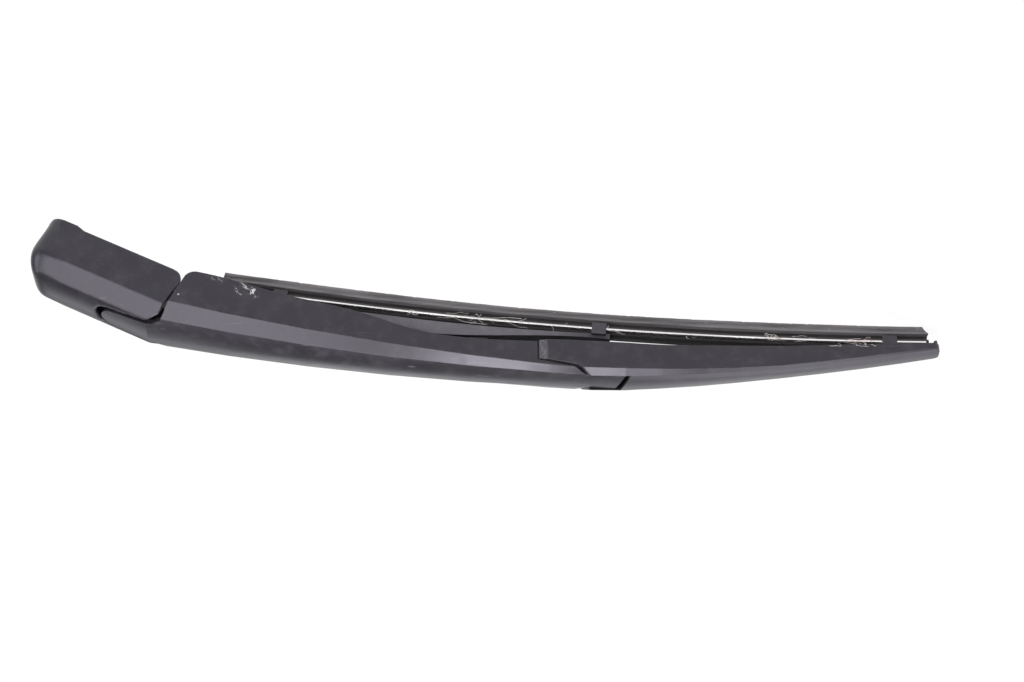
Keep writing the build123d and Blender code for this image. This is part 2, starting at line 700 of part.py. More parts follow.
coil_rings = []
for turn in range(COIL_TURNS):
    coil_rings.append(spring_ring(COIL_START + turn * pitch, COIL_RADIUS - WIRE_RADIUS))
    coil_rings.append(spring_ring(COIL_START + (turn + 0.5) * pitch, COIL_RADIUS))
coil_rings.append(spring_ring(COIL_END, COIL_RADIUS - WIRE_RADIUS))
coil_bore = spring_ring(COIL_START, COIL_RADIUS - 2 * WIRE_RADIUS)
with BuildPart() as arm_spring:
    loft(coil_rings, ruled=True)
    extrude(coil_bore, amount=COIL_END - COIL_START, mode=Mode.SUBTRACT)
    for hook_at, hook_to, turn_axis in (
        (0, COIL_START + pitch, (0, 1, 0)),
        (spring_length, COIL_END - pitch, (0, -1, 0)),
    ):
        hook_start = SPRING.from_local_coords(Vector(hook_at, -eye_radius))
        with BuildSketch(Plane(origin=hook_start, x_dir=(0, 1, 0), z_dir=SPRING.x_dir)) as wire:
            RegularPolygon(WIRE_RADIUS, WIRE_SIDES)
        extrude(amount=hook_to - hook_at)
        hook_axis = Axis(SPRING.from_local_coords(Vector(hook_at, 0)), turn_axis)
        revolve(wire.sketch.faces(), axis=hook_axis, revolution_arc=HOOK_TURN)
save(arm_spring.part, "arm_spring")


# Blade frame: the hood, the lever inside the arm and the right claw


def hood_section(station, inset, shift=0.0):
    """The hood's cross-section at one of its stations."""
    x, half, chamfer_top, width, height, crown = station
    plane = across(BLADE, x + shift)
    edges = (half, chamfer_top - height, half - width, chamfer_top, chamfer_top + crown)
    return faceted_section(plane, *edges, HOOD_FLOOR, inset)


def claw(x):
    """C-shaped claw round the strips, square to the rubber's arc."""
    roof = RUBBER_TOP + SEAT_GAP
    sole = GROOVE_BOTTOM + STRIP_GAP - SEAT_GAP
    inner_half = STRIP_HALF + SEAT_GAP
    with BuildPart() as made:
        with BuildSketch(rubber_station(x)):
            with Locations((0, (roof + sole) / 2)):
                Rectangle(2 * (inner_half + CLAW_SIDE), roof - sole + 2 * CLAW_WALL)
                Rectangle(2 * inner_half, roof - sole, mode=Mode.SUBTRACT)
            with Locations((0, sole - CLAW_WALL / 2)):
                Rectangle(2 * (FLANGE_HALF + SEAT_GAP), 2 * CLAW_WALL, mode=Mode.SUBTRACT)
        extrude(amount=CLAW_LENGTH / 2, both=True)
    return made.part


hood_left = ARM_SHOULDER_X + SHOULDER_GAP - BLADE_PIVOT_X
hood_half = HOOD_STATIONS[0][1]
hood_far = HOOD_STATIONS[-1][0] + HOOD_WALL
hood_sky = HOOD_STATIONS[0][2] + 2 * HOOD_WALL
fork_x = ARM_FORK_X + HOOD_GAP - BLADE_PIVOT_X
fork_end_x = fork_x + ARM_FORK_RUN + FORK_SWING_GAP
hood_lip_z = lip_start_z - BLADE_PIVOT_Z - HOOD_GAP
fork_lip_z = hood_lip_z + lip_slope * (fork_x - hood_left)
slot_half = tip_half + TONGUE_SLOT_GAP
hood_slot_x = ARM_TIP_X + TONGUE_END_GAP - BLADE_PIVOT_X
web_half = HOOD_STATIONS[1][1] - HOOD_WALL / 2
web_bottom = HOOD_RIM[1][1] + SEAT_GAP
cheek_end = WEB_X + WEB_THICKNESS
lever_outer = LEVER_CHEEK_INNER + LEVER_CHEEK_WALL
inner_stations = [(station, 0.0) for station in HOOD_STATIONS[:-1]] + [(HOOD_STATIONS[-1], -HOOD_WALL)]
with BuildPart() as blade_frame:
    loft([hood_section(station, 0) for station in HOOD_STATIONS], ruled=True)
    inner_sections = [hood_section(station, HOOD_WALL, shift) for station, shift in inner_stations]
    loft(inner_sections, ruled=True, mode=Mode.SUBTRACT)
    # Window side of the rim
    with BuildSketch(side(BLADE)):
        with BuildLine():
            rim_line = Spline(*HOOD_RIM)
            Polyline(
                rim_line @ 1,
                (hood_far, HOOD_FLOOR - HOOD_WALL),
                (HOOD_STATIONS[0][0] - HOOD_WALL, HOOD_FLOOR - HOOD_WALL),
                (HOOD_STATIONS[0][0] - HOOD_WALL, HOOD_RIM[0][1]),
                rim_line @ 0,
            )
        make_face()
    extrude(amount=2 * hood_half, both=True, mode=Mode.SUBTRACT)
    # Room for the arm's shoulder, flank lip and chamfers
    with BuildSketch(side(BLADE)):
        with BuildLine():
            Polyline(
                (hood_left, HOOD_FLOOR),
                (hood_left, hood_lip_z),
                (fork_x, fork_lip_z),
                (fork_end_x, HOOD_STATIONS[0][2]),
                (fork_end_x, hood_sky),
                (HOOD_STATIONS[0][0] - HOOD_WALL, hood_sky),
                (HOOD_STATIONS[0][0] - HOOD_WALL, HOOD_FLOOR),
                close=True,
            )
        make_face()
    extrude(amount=2 * hood_half, both=True, mode=Mode.SUBTRACT)
    # Slot for the arm's outer tongue
    with BuildSketch(BLADE):
        with BuildLine():
            Polyline(
                (hood_left, slot_half),
                (hood_slot_x + ARM_TIP_SLANT, slot_half),
                (hood_slot_x - ARM_TIP_SLANT, -slot_half),
                (hood_left, -slot_half),
                close=True,
            )
        make_face()
    extrude(amount=hood_sky, mode=Mode.SUBTRACT)
    # Bevelled ends of the side walls
    with BuildSketch(BLADE.offset(HOOD_FLOOR)):
        for sign in (1, -1):
            with BuildLine():
                Polyline(
                    (hood_left - HOOD_BEVEL, sign * (hood_half - 2 * HOOD_BEVEL_DEPTH)),
                    (hood_left + HOOD_BEVEL, sign * hood_half),
                    (hood_left + HOOD_BEVEL, sign * (hood_half + HOOD_WALL)),
                    (hood_left - HOOD_BEVEL, sign * (hood_half + HOOD_WALL)),
                    close=True,
                )
            make_face()
    extrude(amount=2 * abs(HOOD_FLOOR), mode=Mode.SUBTRACT)
    # Tip rounded in plan
    with BuildSketch(BLADE.offset(HOOD_FLOOR)):
        tip_x, tip_half_width = HOOD_STATIONS[-1][:2]
        tip_run = 2 * tip_half_width
        kept_width = tip_run + HOOD_TIP_ROUND / 8
        with Locations((tip_x, 0)):
            Rectangle(tip_run, 2 * tip_run)
        with Locations((tip_x - tip_run, 0)):
            RectangleRounded(2 * tip_run, kept_width, HOOD_TIP_ROUND, mode=Mode.SUBTRACT)
    extrude(amount=2 * abs(HOOD_FLOOR), mode=Mode.SUBTRACT)
    # Cross wall that ties the lever to the side walls
    with BuildSketch(across(BLADE, WEB_X)):
        with Locations((0, (WEB_TOP + web_bottom) / 2)):
            Rectangle(2 * web_half, WEB_TOP - web_bottom)
    extrude(amount=WEB_THICKNESS)
    # Cheeks round the arm's clip
    for facing in (1, -1):
        with BuildSketch(side(BLADE).offset(facing * LEVER_CHEEK_INNER)):
            with BuildLine():
                Polyline(
                    (cheek_end, -LEVER_EYE),
                    (cheek_end, LEVER_EYE / 2),
                    (0, LEVER_EYE),
                    (LEVER_JOIN_X, LEVER_EYE / 4),
                    (LEVER_JOIN_X, -LEVER_BAR_HEIGHT),
                    (0, -LEVER_EYE),
                    close=True,
                )
            make_face()
            Circle(LEVER_EYE)
        extrude(amount=facing * LEVER_CHEEK_WALL)
    with BuildSketch(across(BLADE, LEVER_JOIN_X)):
        with Locations((0, LEVER_EYE / 4 - LEVER_BAR_HEIGHT / 2)):
            Rectangle(2 * lever_outer, LEVER_BAR_HEIGHT + LEVER_EYE / 2)
    extrude(amount=WEB_THICKNESS)
    # Bar that arches down to the yoke
    with BuildSketch(side(BLADE)):
        with BuildLine():
            upper = Spline(
                (LEVER_JOIN_X + WEB_THICKNESS, LEVER_EYE / 4),
                (LEVER_CREST_X, LEVER_CREST_Z),
                (YOKE_PIVOT_X, YOKE_PIVOT_Z + YOKE_EYE),
            )
            lower = Spline(
                (YOKE_PIVOT_X, YOKE_PIVOT_Z - YOKE_EYE),
                (LEVER_CREST_X, LEVER_CREST_Z - LEVER_BAR_HEIGHT),
                (LEVER_JOIN_X + WEB_THICKNESS, LEVER_EYE / 4 - LEVER_BAR_HEIGHT),
            )
            Line(upper @ 1, lower @ 0)
            Line(lower @ 1, upper @ 0)
        make_face()
        with Locations((YOKE_PIVOT_X, YOKE_PIVOT_Z)):
            Circle(YOKE_EYE)
    extrude(amount=LEVER_BAR_HALF, both=True)
    add(claw(CLAW_RIGHT_X))
    with BuildSketch(side(BLADE)):
        Circle(BLADE_PIN_RADIUS + PRESS_GAP)
        with Locations((YOKE_PIVOT_X, YOKE_PIVOT_Z)):
            Circle(YOKE_PIN_RADIUS + RUNNING_GAP)
    extrude(amount=lever_outer, both=True, mode=Mode.SUBTRACT)
save(blade_frame.part, "blade_frame")

blade_pivot_pin = rod(BLADE, 0, 0, BLADE_PIN_RADIUS, lever_outer)
save(blade_pivot_pin, "blade_pivot_pin")


# Yoke with the left and middle claws

with BuildPart() as yoke:
    with BuildSketch(side(BLADE)):
        with BuildLine():
            back = Spline(*YOKE_BACK)
            belly = Spline(*YOKE_BELLY)
            Line(back @ 1, belly @ 0)
            Line(belly @ 1, back @ 0)
        make_face()
    extrude(amount=YOKE_HALF_WIDTH, both=True)
    with BuildSketch(BLADE.offset(YOKE_BACK[0][1] + HOOD_FLOOR)):
        with BuildLine():
            Polyline(
                (CLAW_LEFT_X - CLAW_LENGTH, YOKE_END_HALF_WIDTH),
                (YOKE_PIVOT_X - YOKE_SLOT_RUN, YOKE_HALF_WIDTH),
                (YOKE_PIVOT_X + YOKE_SLOT_RUN, YOKE_HALF_WIDTH),
                (CLAW_MIDDLE_X + CLAW_LENGTH, YOKE_END_HALF_WIDTH),
                (CLAW_MIDDLE_X + CLAW_LENGTH, -YOKE_END_HALF_WIDTH),
                (YOKE_PIVOT_X + YOKE_SLOT_RUN, -YOKE_HALF_WIDTH),
                (YOKE_PIVOT_X - YOKE_SLOT_RUN, -YOKE_HALF_WIDTH),
                (CLAW_LEFT_X - CLAW_LENGTH, -YOKE_END_HALF_WIDTH),
                close=True,
            )
        make_face()
    extrude(amount=2 * abs(HOOD_FLOOR), mode=Mode.INTERSECT)
    with BuildSketch(side(BLADE)):
        with Locations((YOKE_PIVOT_X + YOKE_SLOT_SHIFT, YOKE_PIVOT_Z)):
            Rectangle(2 * YOKE_SLOT_RUN, 8 * YOKE_EYE)
    extrude(amount=LEVER_BAR_HALF + MOTION_GAP, both=True, mode=Mode.SUBTRACT)
    with BuildSketch(on_axis(BLADE, YOKE_PIVOT_X, YOKE_PIVOT_Z)):
        Circle(YOKE_PIN_RADIUS + PRESS_GAP)
    extrude(amount=YOKE_PIN_HALF + PRESS_GAP, both=True, mode=Mode.SUBTRACT)
    add(claw(CLAW_LEFT_X))
    add(claw(CLAW_MIDDLE_X))
save(yoke.part, "yoke")

yoke_pin = rod(BLADE, YOKE_PIVOT_X, YOKE_PIVOT_Z, YOKE_PIN_RADIUS, YOKE_PIN_HALF)
save(yoke_pin, "yoke_pin")


# Rubber and strips

rubber_sweep = arc_angle(RUBBER_RIGHT_X) - arc_angle(RUBBER_LEFT_X)
neck_bottom = LIP_HEIGHT + SHOULDER_HEIGHT
neck_top_z = neck_bottom + NECK_HEIGHT
rubber_half = [
    (0, 0),
    (LIP_TIP_HALF, 0),
    (LIP_ROOT_HALF, LIP_HEIGHT),
    (SHOULDER_HALF, LIP_HEIGHT + SHOULDER_HEIGHT / 2),
    (SHOULDER_HALF, neck_bottom),
    (NECK_HALF, neck_bottom),
    (NECK_HALF, neck_top_z),
    (FLANGE_HALF, neck_top_z),
    (FLANGE_HALF, GROOVE_BOTTOM),
    (GROOVE_HALF, GROOVE_BOTTOM),
    (GROOVE_HALF, GROOVE_TOP),
    (RUBBER_HEAD_HALF, GROOVE_TOP),
    (RUBBER_HEAD_HALF, RUBBER_TOP),
    (0, RUBBER_TOP),
]
with BuildPart() as wiper_rubber:
    with BuildSketch(rubber_station(RUBBER_LEFT_X)):
        with BuildLine():
            Polyline(*rubber_half, close=True)
        make_face()
        mirror(about=Plane.YZ)
    revolve(axis=ARC_AXIS, revolution_arc=rubber_sweep)
save(wiper_rubber.part, "wiper_rubber")

strip_left = RUBBER_LEFT_X + STRIP_END
strip_sweep = arc_angle(RUBBER_RIGHT_X - STRIP_END) - arc_angle(strip_left)
strip_inner = GROOVE_HALF + STRIP_GAP
for strip_name, facing in (("strip_near", 1), ("strip_far", -1)):
    with BuildPart() as strip:
        with BuildSketch(rubber_station(strip_left)):
            with Locations((facing * (strip_inner + STRIP_HALF) / 2, (GROOVE_BOTTOM + GROOVE_TOP) / 2)):
                Rectangle(STRIP_HALF - strip_inner, STRIP_THICKNESS)
        revolve(axis=ARC_AXIS, revolution_arc=strip_sweep)
    save(strip.part, strip_name)
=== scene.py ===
"""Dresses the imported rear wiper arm: satin black mouldings, dusty rubber, bright strips, wound spring."""
from math import asin, cos, pi, radians, sin
from random import Random

import bmesh
import bpy
from mathutils import Matrix, Vector


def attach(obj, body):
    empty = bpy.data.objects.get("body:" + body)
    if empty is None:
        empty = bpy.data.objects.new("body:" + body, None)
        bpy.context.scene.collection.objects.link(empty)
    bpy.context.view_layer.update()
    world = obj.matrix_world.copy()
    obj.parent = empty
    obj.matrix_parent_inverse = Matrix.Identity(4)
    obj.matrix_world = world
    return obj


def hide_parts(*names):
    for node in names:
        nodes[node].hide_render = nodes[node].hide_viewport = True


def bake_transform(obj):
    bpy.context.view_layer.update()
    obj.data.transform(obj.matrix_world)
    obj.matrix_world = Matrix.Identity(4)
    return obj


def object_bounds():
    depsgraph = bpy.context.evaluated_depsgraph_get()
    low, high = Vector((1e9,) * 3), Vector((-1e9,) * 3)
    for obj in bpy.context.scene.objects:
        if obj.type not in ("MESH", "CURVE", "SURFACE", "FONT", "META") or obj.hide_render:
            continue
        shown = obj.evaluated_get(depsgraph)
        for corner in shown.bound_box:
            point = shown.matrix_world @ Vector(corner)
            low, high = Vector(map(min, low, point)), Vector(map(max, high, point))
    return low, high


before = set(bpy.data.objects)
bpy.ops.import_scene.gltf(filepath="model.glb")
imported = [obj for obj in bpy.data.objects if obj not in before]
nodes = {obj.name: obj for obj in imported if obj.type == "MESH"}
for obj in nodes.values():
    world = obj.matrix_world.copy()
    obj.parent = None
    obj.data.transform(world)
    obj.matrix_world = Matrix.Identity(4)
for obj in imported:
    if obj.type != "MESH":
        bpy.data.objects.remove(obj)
cad_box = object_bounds()
MM = 0.001
MM_PER_METRE = 1000.0

# Frames of the arm and the blade in the part's own frame, in metres
DROOP = radians(26.5)
ALONG = Vector((cos(DROOP), 0, -sin(DROOP)))
OUTWARD = Vector((sin(DROOP), 0, cos(DROOP)))
ACROSS = Vector((0, 1, 0))
HEAD_ALONG = Vector((1, 0, 0))
HEAD_UP = Vector((0, 0, 1))
HINGE = Vector((39.5, 0, 16.0)) * MM
BLADE_PIVOT = HINGE + (ALONG * 192.0 + OUTWARD * 30.7) * MM
HEAD_ANCHOR = Vector((24.0, 0, 6.0)) * MM  # the spring's pin in the head
ARM_ANCHOR = HINGE + (ALONG * 47.5 + OUTWARD * 11.0) * MM  # the spring's pin in the arm

# Arc of the rubber's lip and the stations along the blade, in millimetres
ARC_RADIUS = 1831.0
ARC_APEX_X = 163.4
ARC_APEX_Z = -19.9
ARC_CENTRE = BLADE_PIVOT + (ALONG * ARC_APEX_X + OUTWARD * (ARC_APEX_Z - ARC_RADIUS)) * MM
RUBBER_LEFT_X = -154.7
RUBBER_RIGHT_X = 143.0
STRIP_END = 1.5
CLAW_LEFT_X = -128.7
CLAW_MIDDLE_X = 5.4
CLAW_RIGHT_X = 126.3
GROOVE_TOP = 10.5

# The arm's outline in its own frame, for its scuffs and its painted shade: half width, inner crown and
# window-side edge
ARM_WIDE_X = 22.0
ARM_HALF_WIDTH = 14.5
ARM_TAPER = 0.03535
CROWN_X = 30.0
CROWN_HEIGHT = 10.4
CROWN_RISE = 0.172
EDGE_X = 23.6
EDGE_DEPTH = 8.7
EDGE_RISE = 0.27


def rubber_point(x, y, height):
    """A point over blade station x, at a height above the wiping lip."""
    turn = asin((x - ARC_APEX_X) / ARC_RADIUS)
    reach = (ARC_RADIUS + height) * MM
    return ARC_CENTRE + ALONG * (reach * sin(turn)) + OUTWARD * (reach * cos(turn)) + ACROSS * (y * MM)


# Colours of the plastic, dust, wear and dirt, and the black of painted shade

PLASTIC_BLACK = (0.0125, 0.0118, 0.0143)
YOKE_BLACK = (0.066, 0.062, 0.07)
# painted shade: half the mouldings' black, for the webs inside them
INSIDE_SHADE_BLACK = (0.006, 0.0056, 0.0066)
SHEEN_TINT = (0.9, 0.86, 1.0, 1.0)  # the mouldings' sheen is slightly violet
FILM_GREY = (0.13, 0.124, 0.135, 1.0)
SCRATCH_GREY = (0.12, 0.12, 0.13, 1.0)
EDGE_GREY = (0.16, 0.155, 0.165, 1.0)
SPECK_GREY = (0.34, 0.33, 0.33, 1.0)
SCUFF_WHITE = (0.52, 0.5, 0.51, 1.0)
# painted shade: black for surfaces that lie in shadow inside the arm and for the yoke's back; it also
# darkens the yoke's claws
PAINTED_SHADE_BLACK = (0.004, 0.0038, 0.0043, 1.0)
TARNISH_BROWN = (0.07, 0.06, 0.052, 1.0)
STRIP_GRIME = (0.1, 0.085, 0.075, 1.0)
STRIP_RED = (0.4, 0.17, 0.15, 1.0)
RUBBER_RED = (0.34, 0.13, 0.12, 1.0)
LIP_DUST = (0.112, 0.104, 0.112, 1.0)
FLANGE_DUST = (0.08, 0.075, 0.08, 1.0)
TIP_DUST = (0.185, 0.174, 0.184, 1.0)
SHOULDER_DUST = (0.16, 0.149, 0.158, 1.0)
PATCH_DUST = (0.25, 0.238, 0.25, 1.0)
SMUDGE_GREY = (0.5, 0.48, 0.49, 1.0)
FLUFF_GREY = (0.4, 0.385, 0.39, 1.0)


# Shader maths


class Tone:
    """A value or colour in a material's node tree; operators add Math nodes."""

    def __init__(self, tree, socket=None):
        self.tree = tree
        self.socket = socket

    def node(self, kind, settings=None, inputs=None, out=0):
        """Adds a node of a type, sets it, then links or sets its sockets."""
        made = self.tree.nodes.new(kind)
        for name, value in (settings or {}).items():
            if name == "stops":
                self.set_stops(made.color_ramp, value)
            else:
                setattr(made, name, value)
        for key, value in (inputs or {}).items():
            self.feed(made.inputs[key], value)
        return Tone(self.tree, made.outputs[out])

    def feed(self, socket, value):
        """Links a tone to a socket, or sets a plain value on it."""
        if isinstance(value, Tone):
            self.tree.links.new(value.socket, socket)
        else:
            socket.default_value = value

    @staticmethod
    def set_stops(ramp, stops):
        """Places a colour ramp's stops."""
        while len(ramp.elements) < len(stops):
            ramp.elements.new(0.5)
        for element, (place, colour) in zip(ramp.elements, stops):
            element.position = place
            element.color = (*colour, 1.0)

    def maths(self, operation, first, second):
        """A Math node on two values."""
        return self.node("ShaderNodeMath", {"operation": operation}, {0: first, 1: second})

    def __add__(self, other):
        return self.maths("ADD", self, other)

    __radd__ = __add__

    def __sub__(self, other):
        return self.maths("SUBTRACT", self, other)

    def __rsub__(self, other):
        return self.maths("SUBTRACT", other, self)

    def __mul__(self, other):
        return self.maths("MULTIPLY", self, other)

    __rmul__ = __mul__

    def rise(self, low, high):
        """Smooth step from 0 at low to 1 at high."""
        settings = {"interpolation_type": "SMOOTHSTEP"}
        return self.node("ShaderNodeMapRange", settings, {"Value": self, "From Min": low, "From Max": high})

    def between(self, low, high, soft):
        """1 between two values, fading over soft."""
        return self.rise(low - soft, low + soft) * (1 - self.rise(high - soft, high + soft))

    def over(self, mask, colour):
        """This colour with another laid over it where the mask is 1."""
        settings = {"data_type": "RGBA"}
        return self.node("ShaderNodeMix", settings, {0: mask, 6: self, 7: colour}, out=2)

    def along(self, direction, origin):
        """Distance of this position from an origin along a direction, in millimetres."""
        length = self.node(
            "ShaderNodeVectorMath", {"operation": "DOT_PRODUCT"}, {0: self, 1: tuple(direction)}, out=1
        )
        return (length - origin.dot(direction)) * MM_PER_METRE

    def noise(self, scale, detail=4.0, stretch=(1, 1, 1), rough=0.5):
        """Noise at this position; stretch multiplies the frequency along each axis."""
        spread = self.node("ShaderNodeVectorMath", {"operation": "MULTIPLY"}, {0: self, 1: tuple(stretch)})
        return self.node(
            "ShaderNodeTexNoise",
            None,
            {"Vector": spread, "Scale": scale, "Detail": detail, "Roughness": rough},
        )

    def cells(self, scale):
        """Distance to the nearest of many scattered points."""
        return self.node("ShaderNodeTexVoronoi", None, {"Vector": self, "Scale": scale})

    def hairlines(self, scale, width):
        """Thin wandering lines."""
        field = self.noise(scale, 2.0) - 0.5
        return 1 - self.maths("ABSOLUTE", field, 0.0).rise(width * 0.4, width)

    def turned(self, angle):
        """This position turned about Y, so that X runs along the arm."""
        settings = {"rotation_type": "Y_AXIS"}
        return self.node("ShaderNodeVectorRotate", settings, {"Vector": self, "Angle": angle})


def new_material(name):
    """An empty material with its shader and a position tone."""
    material = bpy.data.materials.new(name)
    material.use_nodes = True
    tree = material.node_tree
    shader = tree.nodes["Principled BSDF"]
    spot = Tone(tree).node("ShaderNodeTexCoord", out=3)
    return material, shader, spot


def edge_tones(spot, radius):
    """Rounded normal and a mask of the worn outer edges."""
    rounded = spot.node("ShaderNodeBevel", {"samples": 4}, {"Radius": radius * MM})
    sharp = spot.node("ShaderNodeNewGeometry", out=1)
    match = spot.node("ShaderNodeVectorMath", {"operation": "DOT_PRODUCT"}, {0: rounded, 1: sharp}, out=1)
    return rounded, (1 - match).rise(0.015, 0.12)


def satin_plastic(name, tint, dust=0.12, marks=None, edge=0.4, shade=None):
    """Moulded black plastic with grain, faint scratches, a dust film and rubbed edges; shade gives a mask
    where black painted shade is laid.
    """
    material, shader, spot = new_material(name)
    lengthwise = spot.turned(-DROOP)
    blotch = spot.noise(55.0, 5.0)
    grain = spot.noise(2300.0, 2.0)
    film = spot.noise(170.0, 6.0, rough=0.62).rise(0.46, 0.78)
    scratch = lengthwise.noise(420.0, 3.0, (0.05, 1.0, 1.0)).rise(0.66, 0.74)
    speck = 1 - spot.cells(420.0).rise(0.045, 0.075)
    speck = speck * spot.noise(95.0, 2.0).rise(0.56, 0.66)
    rounded, rubbed = edge_tones(spot, edge)
    dark = tuple(0.78 * c for c in tint)
    light = tuple(1.25 * c for c in tint)
    base = blotch.node("ShaderNodeValToRGB", {"stops": [(0.3, dark), (0.7, light)]}, {"Fac": blotch})
    base = base.over(grain.rise(0.35, 0.75) * 0.35, (*[1.9 * c for c in tint], 1.0))
    base = base.over(film * dust, FILM_GREY)
    base = base.over(scratch * 0.2, SCRATCH_GREY)
    base = base.over(rubbed * spot.noise(260.0).rise(0.36, 0.62) * 0.3, EDGE_GREY)
    base = base.over(speck * 0.5, SPECK_GREY)
    rough = 0.28 + blotch * 0.1 + film * (0.06 + 0.2 * dust) - rubbed * 0.05
    if marks:
        chips = marks(spot)
        base = base.over(chips, SCUFF_WHITE)
        rough = rough + chips * 0.25
    # painted shade: black and rougher where the shade mask is 1
    if shade:
        shade_mask = shade(spot)
        base = base.over(shade_mask, PAINTED_SHADE_BLACK)
        rough = rough + shade_mask * 0.55
    relief = grain * 0.6 + scratch * 0.25 + blotch * 0.3
    bump = spot.node(
        "ShaderNodeBump",
        None,
        {"Strength": 0.22, "Distance": 0.00012, "Height": relief, "Normal": rounded},
    )
    spot.feed(shader.inputs["Base Color"], base)
    spot.feed(shader.inputs["Roughness"], rough)
    spot.feed(shader.inputs["Normal"], bump)
    shader.inputs["Specular Tint"].default_value = SHEEN_TINT
    return material


def flank_scuffs(spot):
    """Pale hairline scuffs along the arm's window-side edge near the head, and two small marks."""
    x = spot.along(ALONG, HINGE)
    z = spot.along(OUTWARD, HINGE)
    y = spot.along(ACROSS, HINGE)
    edge = z - (x - EDGE_X) * EDGE_RISE + EDGE_DEPTH
    knot = x.between(44.0, 53.0, 2.0) * edge.between(1.2, 5.6, 1.0)
    trail = x.between(32.0, 50.0, 3.0) * edge.between(-1.0, 1.8, 0.9)
    scribble = spot.hairlines(330.0, 0.035) * spot.noise(210.0, 2.0).rise(0.4, 0.56)
    rubbed = spot.noise(430.0, 5.0, (0.6, 1.0, 1.0), 0.7).rise(0.58, 0.68)
    chips = knot * (scribble * 0.85 + rubbed * 0.45) + trail * (rubbed * 0.5 + scribble * 0.4)
    nick = x.between(19.8, 20.5, 0.2) * z.between(3.4, 4.0, 0.2) * y.rise(9.0, 11.0)
    smear = x.between(116.5, 119.5, 0.8) * y.between(2.4, 2.9, 0.25) * z.rise(20.0, 22.0)
    return (chips + nick * 0.7 + smear * 0.3).rise(0.0, 1.0)


def yoke_back_shade_and_claws(spot):
    """Painted shade: black on the yoke's back, which lies in shadow inside the arm; the two claws are
    darkened about half as much.
    """
    facing = spot.node("ShaderNodeNewGeometry", out=1)
    back = facing.node(
        "ShaderNodeVectorMath", {"operation": "DOT_PRODUCT"}, {0: facing, 1: tuple(OUTWARD)}, out=1
    )
    x = spot.along(ALONG, BLADE_PIVOT)
    ends = x.rise(CLAW_MIDDLE_X - 40.0, CLAW_MIDDLE_X) + 1 - x.rise(CLAW_LEFT_X + 3.0, CLAW_LEFT_X + 6.0)
    return (back.rise(0.5, 0.8) * 0.95 + ends * 0.52).rise(0.0, 1.0)


def arm_inside_painted_shade(spot):
    """Painted shade: black on the walls inside the arm's shell, where shadow falls."""
    x = spot.along(ALONG, HINGE)
    y = spot.maths("ABSOLUTE", spot.along(ACROSS, HINGE), 0.0)
    z = spot.along(OUTWARD, HINGE)
    wall = ARM_HALF_WIDTH - (x - ARM_WIDE_X) * ARM_TAPER - y
    depth = (x - CROWN_X) * CROWN_RISE + CROWN_HEIGHT - z
    return wall.rise(0.9, 1.3) * depth.rise(0.3, 0.8) * (1 - x.rise(168.0, 172.0)) * 0.95


def lever_painted_shade(spot):
    """Painted shade: black on the blade frame's lever, which lies in shadow inside the arm."""
    x = spot.along(ALONG, BLADE_PIVOT)
    return (1 - x.rise(-22.6, -21.8)) * 0.95


def hood_dust(spot):
    """Dust rubbed into the bevelled near end of the hood's side walls."""
    x = spot.along(ALONG, BLADE_PIVOT)
    y = spot.along(ACROSS, BLADE_PIVOT)
    z = spot.along(OUTWARD, BLADE_PIVOT)
    wall = spot.maths("ABSOLUTE", y, 0.0).rise(7.4, 7.9)
    bevel = x.between(-21.0, -17.4, 0.8) * wall * (1 - z.rise(1.0, 3.0))
    return bevel * (0.06 + spot.noise(1300.0, 3.0).rise(0.45, 0.62) * 0.1)


def worn_metal(name, tint, roughness, streak, dirt):
    """Metal with drawn streaks, tarnish and a little dirt."""
    material, shader, spot = new_material(name)
    lengthwise = spot.turned(-DROOP)
    streaks = lengthwise.noise(900.0, 4.0, streak)
    tarnish = spot.noise(140.0, 5.0, rough=0.6).rise(0.46, 0.74)
    rounded, rubbed = edge_tones(spot, 0.15)
    low = tuple(0.72 * c for c in tint)
    base = streaks.node("ShaderNodeValToRGB", {"stops": [(0.3, low), (0.7, tint)]}, {"Fac": streaks})
    base = base.over(tarnish * dirt, TARNISH_BROWN)
    base = base.over(rubbed * 0.3, (*[min(1.0, 1.2 * c) for c in tint], 1.0))
    bump = spot.node(
        "ShaderNodeBump",
        None,
        {"Strength": 0.25, "Distance": 0.00008, "Height": streaks, "Normal": rounded},
    )
    spot.feed(shader.inputs["Base Color"], base)
    spot.feed(shader.inputs["Roughness"], roughness + streaks * 0.12 + tarnish * 0.2)
    spot.feed(shader.inputs["Metallic"], 1 - tarnish * dirt * 0.8)
    spot.feed(shader.inputs["Normal"], bump)
    return material


def red_spots(x):
    """Two short stretches of the blade with reddish dirt."""
    return x.between(75.0, 82.0, 2.5) + x.between(109.0, 119.0, 3.0)


def strip_metal():
    """Bright rolled steel with grime and reddish dirt towards the blade's tip."""
    material, shader, spot = new_material("bright_strip_steel")
    lengthwise = spot.turned(-DROOP)
    x = spot.along(ALONG, BLADE_PIVOT)
    streaks = lengthwise.noise(800.0, 4.0, (0.04, 1.0, 1.0))
    grime = spot.noise(210.0, 6.0, rough=0.65).rise(0.64, 0.74)
    red = red_spots(x) * spot.noise(420.0, 4.0).rise(0.45, 0.62)
    bright = [(0.3, (0.78, 0.77, 0.76)), (0.7, (0.95, 0.94, 0.94))]
    base = streaks.node("ShaderNodeValToRGB", {"stops": bright}, {"Fac": streaks})
    base = base.over(grime * 0.6, STRIP_GRIME)
    base = base.over(red * 0.6, STRIP_RED)
    bump = spot.node("ShaderNodeBump", None, {"Strength": 0.2, "Distance": 0.00005, "Height": streaks})
    spot.feed(shader.inputs["Base Color"], base)
    spot.feed(shader.inputs["Roughness"], 0.2 + streaks * 0.12 + grime * 0.35)
    spot.feed(shader.inputs["Metallic"], 1 - grime * 0.7 - red * 0.3)
    spot.feed(shader.inputs["Normal"], bump)
    return material


